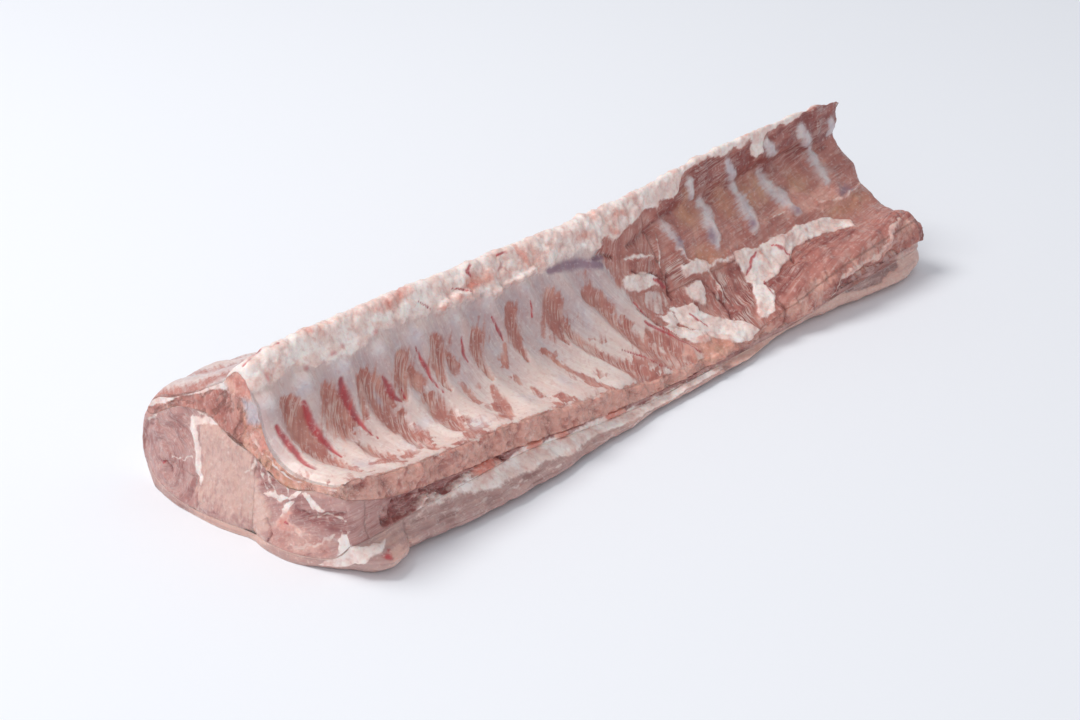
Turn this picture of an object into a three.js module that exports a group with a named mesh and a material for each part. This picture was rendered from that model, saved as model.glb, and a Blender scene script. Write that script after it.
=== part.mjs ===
import * as THREE from "three";

// A raw bone-in pork loin, in millimetres, lying on its back fat with the inside of the ribs up.
// +X runs from the blade end to the sirloin end, the sawn rib edge faces -Y, and +Z is up.
// The origin is the middle of the flat that it rests on.
// Three layers run through it from end to end: the rack of bones, the lean and the fat cap.

const CUT_LENGTH = 576; // from one end cut to the other
const BLADE_END = -CUT_LENGTH / 2;
const SIRLOIN_END = CUT_LENGTH / 2;
const LAYER_GAP = 0.6; // between neighbouring layers

const RIB_PITCH = 31.5;
const RIB_COUNT = 10;
const FIRST_RIB_X = -281; // where its head meets the chine
const RIB_RISE = 3; // how far a rib stands out of the hollow
const RIB_HALF_WIDTH = 8;
const RIB_SLANT = { blade: 8, loin: 46, from: -125, to: -5 }; // how far its cut end lies past its head

const PROCESS_X = [84, 124, 166, 205, 256]; // the cross spurs of the loin's backbone
const PROCESS_RISE = 2.2;
const PROCESS_HALF_WIDTH = 8;

const FAT_STRIP = { from: 108, to: 244, rise: 3.5, halfWidth: 0.3, v: [4.4, 3.95] }; // over the loin's spurs
const CHINE_GROOVE = { from: 62, depth: 3, halfWidth: 0.28, v: 6.35 }; // under the backbone, past the ribs
const FEATHER_PITCH = 29; // of the bones that slant down the far side
const FEATHER_RISE = 1.2;
const FEATHER_SLANT = 22; // how far a feather bone leans over its own height

const CUT_BULGE = { eye: 16, flank: 14, sirloin: 5 }; // how far soft lean sags past the end cuts
const BULGE_REACH = 46; // how far in from a cut the sag begins
const BULGE_HEIGHT = 84; // above this the cut is flat
const FAT_THICKNESS = 4.5; // of the cap under the loin
const RAGGED_RISE = 1.5; // the torn fat along the chine

const RACK_STEP = 6;
const LEAN_STEP = 12;

// The lines that run along the loin, in order round its section. Each goes through a few
// places, written [x, y, z], from the blade end to the sirloin end.
const LINES = {
  seam: [
    [-288, -97, 21], [-215, -93.5, 22], [-150, -90, 21], [-60, -88, 11], [10, -86, 6.5],
    [130, -84, 7], [200, -88, 16], [288, -86, 18],
  ],
  edgeLow: [
    [-288, -94, 50], [-250, -92.5, 37], [-215, -91, 32], [-150, -89, 26], [-60, -87, 15],
    [10, -84.5, 9.5], [130, -84, 10], [200, -88, 20], [288, -86, 24],
  ],
  edgeTop: [
    [-288, -91, 62], [-250, -90, 53], [-140, -86, 41], [-60, -84, 29], [10, -82, 17],
    [80, -82, 15], [130, -82, 20], [200, -83, 34], [288, -80, 39],
  ],
  shelf: [
    [-288, -80, 58], [-220, -78, 46.5], [-140, -75, 39.5], [-60, -73, 31], [10, -71, 23],
    [80, -71, 20], [130, -70, 25], [200, -68, 40], [288, -68, 43],
  ],
  trough: [
    [-288, -50, 57], [-220, -50, 48], [-120, -50, 43], [0, -50, 37], [60, -50, 32],
    [130, -50, 33], [200, -50, 40], [288, -50, 43],
  ],
  gutter: [[-288, -30, 66], [-220, -30, 61], [-120, -30, 59], [60, -30, 55], [288, -30, 57]],
  ribHead: [[-288, -19, 84], [0, -18, 80], [60, -17, 77], [130, -14, 75], [200, -9, 74], [288, -7, 75]],
  ridgeIn: [[-288, -11, 96], [-120, -11, 97], [0, -11, 95], [130, -7, 98], [288, -5, 98]],
  ridgeTop: [
    [-288, -3, 103], [-250, -3, 107], [-100, -3, 106], [-15, -3, 103.5], [68, -3, 106],
    [111, -3, 110], [200, -3, 113], [288, -3, 110],
  ],
  ridgeOut: [[-288, 12, 92], [-230, 12, 95], [0, 10, 91], [130, 10, 97], [288, 8, 98]],
  backMid: [[-288, 46, 74], [-250, 46, 76], [-200, 46, 71], [-120, 44, 64], [288, 40, 66]],
  backEdge: [[-288, 81, 56], [-250, 82, 57], [-200, 82, 50], [-120, 80, 43], [288, 76, 37]],
  farSide: [[-288, 95, 20], [-250, 96, 22], [0, 93, 20], [288, 86, 18]],
  farFoot: [[-288, 82, 0], [0, 76, 0], [288, 66, 0]],
  nearFoot: [
    [-288, -84, 0], [-272, -98, 0], [-240, -91, 0], [-200, -90, 0], [0, -78, 0], [130, -70, 0],
    [240, -78, 0], [288, -72, 0],
  ],
  nearSide: [
    [-288, -101, 10], [-272, -114, 11], [-242, -104, 9], [-200, -107, 6], [-150, -107, 6],
    [-100, -102, 5], [0, -93, 4.5], [80, -91, 4.5], [135, -83, 4.5], [190, -88, 6],
    [240, -94, 6], [288, -88, 8],
  ],
};
const NAMES = Object.keys(LINES);
const AT = Object.fromEntries(NAMES.map((name, k) => [name, k]));
const RACK_TOE = AT.backEdge + 0.25; // where the rack's outside ends on the far side
const CAP_LIP = AT.backEdge + 0.7; // where the fat cap's outside begins on the far side

const clamp = THREE.MathUtils.clamp;
const ramp = THREE.MathUtils.smoothstep;
const mix = THREE.MathUtils.lerp;

// A smooth curve through [x, value] knots that never overshoots them.
function monotone(knots) {
  const rise = knots.slice(1).map(([x, v], k) => (v - knots[k][1]) / (x - knots[k][0]));
  const slope = knots.map((_, k) => {
    const before = rise[Math.max(k - 1, 0)];
    const after = rise[Math.min(k, rise.length - 1)];
    return before * after > 0 ? (2 * before * after) / (before + after) : k ? 0 : after;
  });
  return (x) => {
    const next = knots.findIndex(([edge]) => edge >= x);
    const k = clamp((next < 0 ? knots.length : next) - 1, 0, knots.length - 2);
    const width = knots[k + 1][0] - knots[k][0];
    const t = clamp((x - knots[k][0]) / width, 0, 1);
    return (
      (1 + 2 * t) * (1 - t) ** 2 * knots[k][1] +
      t * (1 - t) ** 2 * width * slope[k] +
      t * t * (3 - 2 * t) * knots[k + 1][1] +
      t * t * (t - 1) * width * slope[k + 1]
    );
  };
}

const TRACKS = NAMES.map((name) => ({
  y: monotone(LINES[name].map(([x, y]) => [x, y])),
  z: monotone(LINES[name].map(([x, , z]) => [x, z])),
}));

// The section at x: its landmarks by name, and the closed curve through them.
function sectionAt(x) {
  const points = TRACKS.map(({ y, z }) => new THREE.Vector3(x, y(x), z(x)));
  const named = Object.fromEntries(NAMES.map((name, k) => [name, points[k]]));
  return { x, named, curve: new THREE.CatmullRomCurve3(points, true, "centripetal") };
}

// A bump of height 1 at the nearest rib, whose cut end lies further along the loin than its head.
function ribBump(x, v) {
  const slant = mix(RIB_SLANT.blade, RIB_SLANT.loin, ramp(x, RIB_SLANT.from, RIB_SLANT.to));
  const down = clamp((AT.ribHead - v) / (AT.ribHead - AT.edgeTop), 0, 1);
  const along = (x - slant * down - FIRST_RIB_X) / RIB_PITCH;
  const nearest = clamp(Math.round(along), 0, RIB_COUNT - 1);
  const off = ((along - nearest) * RIB_PITCH) / RIB_HALF_WIDTH;
  return Math.exp(-off * off);
}

// A bump of height 1 at each cross spur of the backbone, past the last rib.
function processBump(x) {
  return Math.max(...PROCESS_X.map((at) => Math.exp(-(((x - at) / PROCESS_HALF_WIDTH) ** 2))));
}

// The height, up to 1, of a ridge that runs along the loin at place at, round the section.
function lengthwise(v, at, halfWidth) {
  return Math.exp(-(((v - at) / halfWidth) ** 2));
}

// A bump of height 1 at each feather bone of the sawn backbone, on the far side.
function featherBump(x, v) {
  const lean = FEATHER_SLANT * (v - AT.ridgeOut) / (AT.backEdge - AT.ridgeOut);
  return 0.5 + 0.5 * Math.cos((2 * Math.PI * (x + lean)) / FEATHER_PITCH);
}

// Uneven lumps, from -1 to 1, about 8 to 20 mm across.
function lumps(x, v) {
  return (
    0.5 * Math.sin(x * 0.41 + 2.1 * v + 1.7 * Math.sin(x * 0.13)) +
    0.5 * Math.sin(x * 0.73 - 3.3 * v + 1.3 * Math.cos(x * 0.29))
  );
}

// How far the outside stands proud of the smooth section at place v round it.
function relief(x, v) {
  const hollow = ramp(v, AT.edgeTop, AT.shelf) * (1 - ramp(v, AT.ribHead, AT.ridgeIn));
  const spurs = ramp(v, AT.trough + 0.6, AT.gutter) * (1 - ramp(v, AT.ribHead, AT.ridgeIn));
  const torn = ramp(v, AT.ribHead + 0.4, AT.ridgeIn) * (1 - ramp(v, AT.ridgeOut, AT.backMid));
  const feathers = ramp(v, AT.ridgeOut, AT.backMid) * (1 - ramp(v, AT.backMid + 0.5, AT.backEdge));
  const strip = FAT_STRIP;
  const groove = CHINE_GROOVE;
  const stripEnds = ramp(x, strip.from, strip.from + 20) * (1 - ramp(x, strip.to - 14, strip.to));
  const stripAt = mix(...strip.v, ramp(x, strip.from, strip.to));
  return (
    RIB_RISE * hollow * ribBump(x, v) +
    PROCESS_RISE * spurs * processBump(x) +
    RAGGED_RISE * torn * lumps(x, v) +
    FEATHER_RISE * feathers * featherBump(x, v) +
    strip.rise * stripEnds * lengthwise(v, stripAt, strip.halfWidth) -
    groove.depth * ramp(x, groove.from, groove.from + 30) * lengthwise(v, groove.v, groove.halfWidth)
  );
}

// The point of the outside at place v round the section, where 0 is the first landmark.
function outsideAt(section, v) {
  const t = v / NAMES.length;
  const point = section.curve.getPoint(t);
  const tangent = section.curve.getTangent(t);
  point.add(new THREE.Vector3(0, -tangent.z, tangent.y).multiplyScalar(relief(section.x, v)));
  point.z = Math.max(point.z, 0);
  return point;
}

function outside(section, from, to, count) {
  return Array.from({ length: count }, (_, k) => outsideAt(section, mix(from, to, k / (count - 1))));
}

// Points along the curve through guides, moved aside by offset, without its two ends.
function inside(guides, count, offset) {
  const curve = new THREE.CatmullRomCurve3(guides, false, "centripetal");
  return Array.from({ length: count }, (_, k) => {
    const t = (k + 1) / (count + 1);
    const tangent = curve.getTangent(t);
    return curve.getPoint(t).add(new THREE.Vector3(0, -tangent.z, tangent.y).multiplyScalar(offset));
  });
}

// Where the rack lies on the lean, from the sawn rib edge up under the chine and down the far side.
function rackBed(section) {
  const { x, named } = section;
  const place = (y, z) => new THREE.Vector3(x, y, z);
  const { edgeLow, shelf, trough, gutter, ridgeOut, backMid, backEdge } = named;
  return [
    edgeLow,
    place(-72, shelf.z - 9),
    place(-48, trough.z - 13),
    place(-22, gutter.z - 15),
    place(2, ridgeOut.z - 34),
    place(22, ridgeOut.z - 27),
    place(backMid.y + 3, backMid.z - 12),
    place(backEdge.y - 3, backEdge.z - 10),
    outsideAt(section, RACK_TOE),
  ];
}

// Where the lean lies in the fat cap, from the near seam across the bottom and up the far side.
function capBed(section) {
  const { x, named } = section;
  const place = (y, z) => new THREE.Vector3(x, y, z);
  const { seam, farSide } = named;
  const step = seam.z - FAT_THICKNESS;
  return [
    seam,
    place(seam.y + 14, FAT_THICKNESS + 0.3 * step),
    place(-50, FAT_THICKNESS + 0.06 * step),
    place(0, FAT_THICKNESS),
    place(55, FAT_THICKNESS),
    place(farSide.y - 8, 11),
    place(farSide.y - 4, 22),
    outsideAt(section, CAP_LIP),
  ];
}

const BED_POINTS = { rack: 10, cap: 9 };
const RACK_POINTS = { hollow: [2, 2, 3, 3, 3, 2, 2], back: 7 }; // in each stretch of its outside
const CORNER = LAYER_GAP / 2 + 0.05; // the gap where two layers meet at the outside

// The landmark distance that leaves the corner gap beside place v.
function nudge(section, v, side) {
  const t = v / NAMES.length;
  const length = section.curve.getPoint(t).distanceTo(section.curve.getPoint(t + (0.05 * side) / NAMES.length));
  return (side * 0.05 * CORNER) / length;
}

// The underside of the rack with its two corners, from the far side back to the sawn edge.
function rackUnderside(section) {
  const toe = outsideAt(section, RACK_TOE + nudge(section, RACK_TOE, -1));
  const edge = outsideAt(section, AT.edgeLow + nudge(section, AT.edgeLow, 1));
  return [toe, ...inside(rackBed(section), BED_POINTS.rack, LAYER_GAP / 2).reverse(), edge];
}

function rackOutline(section, underside) {
  const stops = ["edgeLow", "edgeTop", "shelf", "trough", "gutter", "ribHead", "ridgeIn", "ridgeTop"];
  const hollow = RACK_POINTS.hollow.flatMap((count, k) =>
    Array.from({ length: count }, (_, j) =>
      outsideAt(section, mix(AT[stops[k]], AT[stops[k + 1]], j / count)),
    ),
  );
  const back = outside(section, AT.ridgeTop, RACK_TOE, RACK_POINTS.back);
  return [...hollow.slice(1), ...back.slice(0, -1), ...underside];
}

function leanOutline(section) {
  const near = outside(
    section,
    nudge(section, 0, 1),
    AT.edgeLow + nudge(section, AT.edgeLow, -1),
    3,
  );
  const far = outside(
    section,
    RACK_TOE + nudge(section, RACK_TOE, 1),
    CAP_LIP + nudge(section, CAP_LIP, -1),
    3,
  );
  const top = inside(rackBed(section), BED_POINTS.rack, -LAYER_GAP / 2);
  const bottom = inside(capBed(section), BED_POINTS.cap, LAYER_GAP / 2).reverse();
  return [...near, ...top, ...far, ...bottom];
}

function capOutline(section) {
  const end = NAMES.length;
  const far = outside(section, CAP_LIP + nudge(section, CAP_LIP, 1), AT.farFoot, 4);
  const under = outside(section, AT.farFoot, AT.nearFoot, 4).slice(1, -1);
  const near = outside(section, AT.nearFoot, end + nudge(section, 0, -1), 5);
  return [...far, ...under, ...near, ...inside(capBed(section), BED_POINTS.cap, -LAYER_GAP / 2)];
}

// How far the lean and fat sag past the end cuts at height z and place y.
function sag(x, y, z) {
  const lobe = (at, halfWidth) => Math.max(0, 1 - ((y - at) / halfWidth) ** 2);
  const low = clamp(1 - z / BULGE_HEIGHT, 0, 1);
  const blade = Math.max(CUT_BULGE.eye * lobe(24, 70), CUT_BULGE.flank * lobe(-45, 46));
  const atBlade = ramp(-x, -BLADE_END - BULGE_REACH, -BLADE_END);
  const atSirloin = ramp(x, SIRLOIN_END - BULGE_REACH, SIRLOIN_END);
  return low * (atSirloin ** 2 * CUT_BULGE.sirloin * lobe(0, 90) - atBlade ** 2 * blade);
}

function stations(step) {
  const count = Math.round(CUT_LENGTH / step);
  return Array.from({ length: count + 1 }, (_, k) => sectionAt(mix(BLADE_END, SIRLOIN_END, k / count)));
}

const area = (a, b, c) => (b.y - a.y) * (c.z - a.z) - (b.z - a.z) * (c.y - a.y);

// One closed body through the outlines. An end is shut by smaller copies of its outline round
// its middle, one for each shrink, or straight across where there are none. A lean body parts
// its four-sided faces the other way, so that they lie along those of the layers it touches.
function loft(outlines, shrinks = []) {
  const round = outlines[0].length;
  const points = outlines.flat();
  const faces = [];
  const quad = (a, b, c, d) =>
    shrinks.length ? faces.push([a, b, d], [b, c, d]) : faces.push([a, b, c], [a, c, d]);
  for (let i = 0; i + 1 < outlines.length; i += 1) {
    for (let j = 0; j < round; j += 1) {
      const k = (j + 1) % round;
      quad(i * round + j, (i + 1) * round + j, (i + 1) * round + k, i * round + k);
    }
  }
  for (const [first, facing] of [[0, -1], [points.length - round, 1]]) {
    const rim = points.slice(first, first + round);
    const add = (a, b, c) => faces.push(facing < 0 ? [a, b, c] : [a, c, b]);
    if (shrinks.length === 0) {
      const flat = rim.map((p) => new THREE.Vector2(p.y, p.z));
      for (const [a, b, c] of THREE.ShapeUtils.triangulateShape(flat, [])) {
        const turned = area(rim[a], rim[b], rim[c]) > 0;
        add(first + a, first + (turned ? c : b), first + (turned ? b : c));
      }
      continue;
    }
    const middle = rim.reduce((sum, p) => sum.add(p), new THREE.Vector3()).divideScalar(round);
    let outer = first;
    for (const shrink of shrinks) {
      const inner = points.length;
      points.push(...rim.map((p) => p.clone().lerp(middle, 1 - shrink)));
      for (let j = 0; j < round; j += 1) {
        const k = (j + 1) % round;
        add(outer + j, outer + k, inner + k);
        add(outer + j, inner + k, inner + j);
      }
      outer = inner;
    }
    points.push(middle);
    for (let j = 0; j < round; j += 1) add(outer + j, outer + ((j + 1) % round), points.length - 1);
  }
  const geometry = new THREE.BufferGeometry();
  const places = points.flatMap(({ x, y, z }) => [x + sag(x, y, z), y, z]);
  geometry.setAttribute("position", new THREE.Float32BufferAttribute(places, 3));
  geometry.setIndex(faces.flat());
  geometry.computeVertexNormals();
  return geometry;
}

// The ribs, the meat between them, the split chine and its spurs, as one rack on top of the lean.
function rack() {
  const sections = stations(RACK_STEP);
  const stride = LEAN_STEP / RACK_STEP;
  const undersides = sections.map(rackUnderside);
  const straight = undersides.map((own, i) => {
    const before = Math.floor(i / stride) * stride;
    if (before === i) return own;
    const after = undersides[before + stride];
    return undersides[before].map((p, k) => p.clone().lerp(after[k], (i - before) / stride));
  });
  return loft(sections.map((section, i) => rackOutline(section, straight[i])));
}

function lean() {
  return loft(stations(LEAN_STEP).map(leanOutline), [0.75, 0.4]);
}

function fatCap() {
  return loft(stations(LEAN_STEP).map(capOutline));
}

function layer(name, geometry, color, roughness) {
  const mesh = new THREE.Mesh(geometry, new THREE.MeshStandardMaterial({ color, roughness, metalness: 0 }));
  mesh.name = name;
  return mesh;
}

const loin = new THREE.Group();
loin.name = "raw_pork_loin";
loin.add(
  layer("rib_rack", rack(), 0xcfa79c, 0.42),
  layer("loin_muscle", lean(), 0xb97d76, 0.45),
  layer("fat_cap", fatCap(), 0xd9bdb0, 0.48),
);

export default loin;
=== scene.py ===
import bpy
import numpy as np
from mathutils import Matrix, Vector


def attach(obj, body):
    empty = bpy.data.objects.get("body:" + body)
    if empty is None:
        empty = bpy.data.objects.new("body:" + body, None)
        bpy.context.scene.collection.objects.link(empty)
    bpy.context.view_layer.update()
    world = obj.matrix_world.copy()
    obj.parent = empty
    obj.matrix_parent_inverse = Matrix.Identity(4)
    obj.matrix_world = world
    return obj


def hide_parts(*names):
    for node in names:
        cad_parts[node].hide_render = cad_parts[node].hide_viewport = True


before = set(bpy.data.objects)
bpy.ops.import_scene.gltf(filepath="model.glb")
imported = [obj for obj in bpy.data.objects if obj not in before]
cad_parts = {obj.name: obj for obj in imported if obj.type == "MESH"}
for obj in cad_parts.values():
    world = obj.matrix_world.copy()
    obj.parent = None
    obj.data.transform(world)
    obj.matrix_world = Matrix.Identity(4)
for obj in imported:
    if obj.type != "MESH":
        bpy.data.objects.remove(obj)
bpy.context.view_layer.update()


# The back fat. A soft cap under the whole loin, a few millimetres thick, with a thin greyish skin
# on its sides and a thick white wedge under the sawn ribs. It is the fat left on the lean when the
# rind came off. Like the two layers over it, it is drawn from the sixteen lines of the cut.
MM = 0.001  # shapes are worked out in millimetres and made in metres
CUT_END = 288  # from the middle of the cut to each end

# The lines that run along the cut, in order round its section, each through a few places
# [x, y, z]. A place round the section is written v, and v is 0 on the first line.
LINES = {
    "seam": [
        (-288, -97, 21), (-215, -93.5, 22), (-150, -90, 21), (-60, -88, 11), (10, -86, 6.5),
        (130, -84, 7), (200, -88, 16), (288, -86, 18),
    ],
    "edge_low": [
        (-288, -94, 50), (-250, -92.5, 37), (-215, -91, 32), (-150, -89, 26), (-60, -87, 15),
        (10, -84.5, 9.5), (130, -84, 10), (200, -88, 20), (288, -86, 24),
    ],
    "edge_top": [
        (-288, -91, 62), (-250, -90, 53), (-140, -86, 41), (-60, -84, 29), (10, -82, 17),
        (80, -82, 15), (130, -82, 20), (200, -83, 34), (288, -80, 39),
    ],
    "shelf": [
        (-288, -80, 58), (-220, -78, 46.5), (-140, -75, 39.5), (-60, -73, 31), (10, -71, 23),
        (80, -71, 20), (130, -70, 25), (200, -68, 40), (288, -68, 43),
    ],
    "trough": [
        (-288, -50, 57), (-220, -50, 48), (-120, -50, 43), (0, -50, 37), (60, -50, 32),
        (130, -50, 33), (200, -50, 40), (288, -50, 43),
    ],
    "gutter": [(-288, -30, 66), (-220, -30, 61), (-120, -30, 59), (60, -30, 55), (288, -30, 57)],
    "rib_head": [
        (-288, -19, 84), (0, -18, 80), (60, -17, 77), (130, -14, 75), (200, -9, 74), (288, -7, 75),
    ],
    "ridge_in": [(-288, -11, 96), (-120, -11, 97), (0, -11, 95), (130, -7, 98), (288, -5, 98)],
    "ridge_top": [
        (-288, -3, 103), (-250, -3, 107), (-100, -3, 106), (-15, -3, 103.5), (68, -3, 106),
        (111, -3, 110), (200, -3, 113), (288, -3, 110),
    ],
    "ridge_out": [(-288, 12, 92), (-230, 12, 95), (0, 10, 91), (130, 10, 97), (288, 8, 98)],
    "back_mid": [(-288, 46, 74), (-250, 46, 76), (-200, 46, 71), (-120, 44, 64), (288, 40, 66)],
    "back_edge": [(-288, 81, 56), (-250, 82, 57), (-200, 82, 50), (-120, 80, 43), (288, 76, 37)],
    "far_side": [(-288, 95, 20), (-250, 96, 22), (0, 93, 20), (288, 86, 18)],
    "far_foot": [(-288, 82, 0), (0, 76, 0), (288, 66, 0)],
    "near_foot": [
        (-288, -84, 0), (-272, -98, 0), (-240, -91, 0), (-200, -90, 0), (0, -78, 0), (130, -70, 0),
        (240, -78, 0), (288, -72, 0),
    ],
    "near_side": [
        (-288, -101, 10), (-272, -114, 11), (-242, -104, 9), (-200, -107, 6), (-150, -107, 6),
        (-100, -102, 5), (0, -93, 4.5), (80, -91, 4.5), (135, -83, 4.5), (190, -88, 6),
        (240, -94, 6), (288, -88, 8),
    ],
}
RING = len(LINES)
SEAM, EDGE_LOW, EDGE_TOP, SHELF, TROUGH, GUTTER, RIB_HEAD, RIDGE_IN, RIDGE_TOP, RIDGE_OUT = range(10)
BACK_EDGE, FAR_SIDE, FAR_FOOT, NEAR_FOOT = range(11, RING - 1)
RACK_TOE = BACK_EDGE + 0.25  # where the rack ends on the far side
CAP_LIP = BACK_EDGE + 0.7  # where the fat begins on the far side
FAT_THICKNESS = 4.5

RIB_PITCH = 31.5
RIB_COUNT = 10
FIRST_RIB_X = -281
RIB_RISE = 3
RIB_HALF_WIDTH = 8
RIB_SLANT = {"blade": 8, "loin": 46, "from": -125, "to": -5}
SPUR_X = [84, 124, 166, 205, 256]  # the cross spurs of the loin's backbone
SPUR_RISE = 2.2
SPUR_HALF_WIDTH = 8
CHINE_GROOVE = {"from": 62, "depth": 3, "half_width": 0.28, "v": 6.35}
SAG = {"eye": 16, "flank": 14, "sirloin": 5, "rim": 8}  # how far each part of a cut slumps
# Where each of those parts has its middle across the loin, and its half width.
SAG_ACROSS = {"eye": (24, 70), "flank": (-45, 46), "sirloin": (0, 90), "rim": (-22, 30)}
SAG_REACH, SAG_HEIGHT = 46, 84  # how far in from the cut it begins, and up to what height
RIM_HEIGHT = (52, 64)
ON_CUT = CUT_END - 0.1  # anything past this lies on an end cut
CUT_ROUNDING = {"depth": 3.6, "reach": 4.5}  # how the skin draws in at an end cut
CRAG = 0.35  # the small unevenness of every skin and cut
STATIONS = 461
BED_COLUMNS = 32  # across a hidden face between two layers

places = np.linspace(-CUT_END, CUT_END, STATIONS)


def ramp(value, start, end):
    """0 up to start and 1 from end on, with a smooth step between."""
    t = np.clip((value - start) / (end - start), 0, 1)
    return t * t * (3 - 2 * t)


def mix(a, b, share):
    return a + (b - a) * share


def follow(knots, x):
    """A smooth curve through (x, value) knots that never overshoots them."""
    at, value = np.array(knots, float).T
    rise = np.diff(value) / np.diff(at)
    before, after = np.append(rise[0], rise), np.append(rise, rise[-1])
    steady = before * after > 0
    slope = np.where(steady, 2 * before * after / np.where(steady, before + after, 1), 0)
    k = np.clip(np.searchsorted(at, x) - 1, 0, len(at) - 2)
    width = at[k + 1] - at[k]
    t = np.clip((x - at[k]) / width, 0, 1)
    start = (1 + 2 * t) * (1 - t) ** 2 * value[k] + t * (1 - t) ** 2 * width * slope[k]
    return start + t * t * (3 - 2 * t) * value[k + 1] + t * t * (t - 1) * width * slope[k + 1]


def through(knots, u):
    """Places and headings at u along the curves through (section, knot, yz), 0 at the second knot."""
    k = np.clip(np.floor(u).astype(int), 0, knots.shape[1] - 4)
    w = (u - k)[None, :, None]
    a, b, c, d = (knots[:, k + step] for step in range(4))
    gaps = [np.sum((q - p) ** 2, -1, keepdims=True) ** 0.25 for p, q in ((a, b), (b, c), (c, d))]
    before, here, after = (np.maximum(gap, 1e-4) for gap in gaps)
    leave = here * ((b - a) / before - (c - a) / (before + here)) + (c - b)
    arrive = (c - b) - here * ((d - b) / (here + after) - (d - c) / after)
    bend = 3 * (c - b) - 2 * leave - arrive
    twist = 2 * (b - c) + leave + arrive
    return b + w * (leave + w * (bend + w * twist)), leave + w * (2 * bend + 3 * w * twist)


rails = np.stack(
    [
        np.stack([follow([(x, p[axis]) for x, *p in line], places) for axis in (0, 1)], -1)
        for line in LINES.values()
    ],
    1,
)
closed_rails = np.concatenate([rails[:, -1:], rails, rails[:, :2]], 1)
PATH_STEPS = 800
path_v = np.linspace(0, RING, PATH_STEPS + 1)
path = through(closed_rails[STATIONS // 3 : STATIONS // 3 + 1], path_v % RING)[0][0]
path_length = np.append(0, np.cumsum(np.hypot(*np.diff(path, axis=0).T)))


def round_mm(v):
    """The way round the section from the seam to v in millimetres, a third of the way along."""
    turns = np.floor(np.asarray(v, float) / RING)
    return turns * path_length[-1] + np.interp(v - turns * RING, path_v, path_length)


def hashed(cells, seed):
    """A number from 0 to 1 for each whole-numbered cell."""
    mixed = cells.astype(np.uint64) * np.array([73856093, 19349663, 83492791], np.uint64)
    h = mixed[..., 0] ^ mixed[..., 1] ^ mixed[..., 2] ^ np.uint64(seed * 2654435761 % 2**32)
    for shift, factor in ((15, 2246822519), (13, 3266489917)):
        h = ((h ^ (h >> np.uint64(shift))) * np.uint64(factor)) & np.uint64(0xFFFFFFFF)
    return ((h ^ (h >> np.uint64(16))) & np.uint64(0xFFFFFF)) / 2.0**24


def noise(points, size, seed=1, octaves=3):
    """Uneven smooth values from about -1 to 1, in patches of the given size."""
    total, weight = 0, 1
    for octave in range(octaves):
        scaled = points / size * 2**octave + 500
        cell = np.floor(scaled)
        f = scaled - cell
        f = f * f * (3 - 2 * f)
        value = 0
        for corner in np.ndindex(2, 2, 2):
            share = np.prod(np.where(corner, f, 1 - f), -1)
            value = value + share * (2 * hashed(cell + corner, seed + octave) - 1)
        total = total + weight * value
        weight /= 2
    return total


def clumps(points, size, seed=1):
    """Rounded lumps from 0 in the creases to 1 on top, about the given size apart."""
    scaled = points / size + 500
    cell = np.floor(scaled)
    nearest = np.full(cell.shape[:-1], 9.0)
    for step in np.ndindex(3, 3, 3):
        other = cell + step - 1
        heart = other + np.stack([hashed(other, seed + axis) for axis in range(3)], -1)
        nearest = np.minimum(nearest, np.sum((scaled - heart) ** 2, -1))
    return np.clip(1 - nearest, 0, 1)


def rib_crest(x, v):
    """How far x lies past the nearest rib's crest at v, in millimetres."""
    slant = mix(RIB_SLANT["blade"], RIB_SLANT["loin"], ramp(x, RIB_SLANT["from"], RIB_SLANT["to"]))
    down = np.clip((RIB_HEAD - v) / (RIB_HEAD - EDGE_TOP), 0, 1)
    along = (x - slant * down - FIRST_RIB_X) / RIB_PITCH
    return (along - np.clip(np.round(along), 0, RIB_COUNT - 1)) * RIB_PITCH


def spurs_at(x):
    return np.max([np.exp(-(((x - at) / SPUR_HALF_WIDTH) ** 2)) for at in SPUR_X], 0)


def bones(x, v):
    """How far the ribs and spurs lift the skin, and the groove under the chine lowers it."""
    hollow = ramp(v, EDGE_TOP, SHELF) * (1 - ramp(v, RIB_HEAD, RIDGE_IN))
    spurs = ramp(v, TROUGH + 0.6, GUTTER) * (1 - ramp(v, RIB_HEAD, RIDGE_IN))
    groove = np.exp(-(((v - CHINE_GROOVE["v"]) / CHINE_GROOVE["half_width"]) ** 2))
    return (
        RIB_RISE * hollow * np.exp(-((rib_crest(x, v) / RIB_HALF_WIDTH) ** 2))
        + SPUR_RISE * spurs * spurs_at(x)
        - CHINE_GROOVE["depth"] * ramp(x, CHINE_GROOVE["from"], CHINE_GROOVE["from"] + 30) * groove
    )


def skin(v, lift=0):
    """The outside at places v round every section, raised by lift along its outward direction."""
    yz, heading = through(closed_rails, np.mod(v, RING - 1e-9))
    x = np.repeat(places[:, None], len(v), 1)
    flat = np.concatenate([x[..., None], yz], -1)
    rise = bones(x, v[None, :]) + CRAG * noise(flat, 9, seed=3) + lift
    rise = rise - CUT_ROUNDING["depth"] * np.exp((np.abs(x) - CUT_END) / CUT_ROUNDING["reach"])
    outward = np.stack([-heading[..., 1], heading[..., 0]], -1)
    outward /= np.linalg.norm(outward, axis=-1, keepdims=True)
    yz = yz + outward * rise[..., None]
    return np.concatenate([x[..., None], np.maximum(yz, [-1e3, 0])], -1)


def bed(guides):
    """A hidden face between two layers, through (section, guide, yz), without its two ends."""
    guides = np.stack(guides, 1)
    before, after = 2 * guides[:, :1] - guides[:, 1:2], 2 * guides[:, -1:] - guides[:, -2:-1]
    u = np.linspace(0, guides.shape[1] - 1, BED_COLUMNS + 2)[1:-1]
    yz, _ = through(np.concatenate([before, guides, after], 1), u)
    return np.concatenate([np.repeat(places[:, None], BED_COLUMNS, 1)[..., None], yz], -1)


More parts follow.
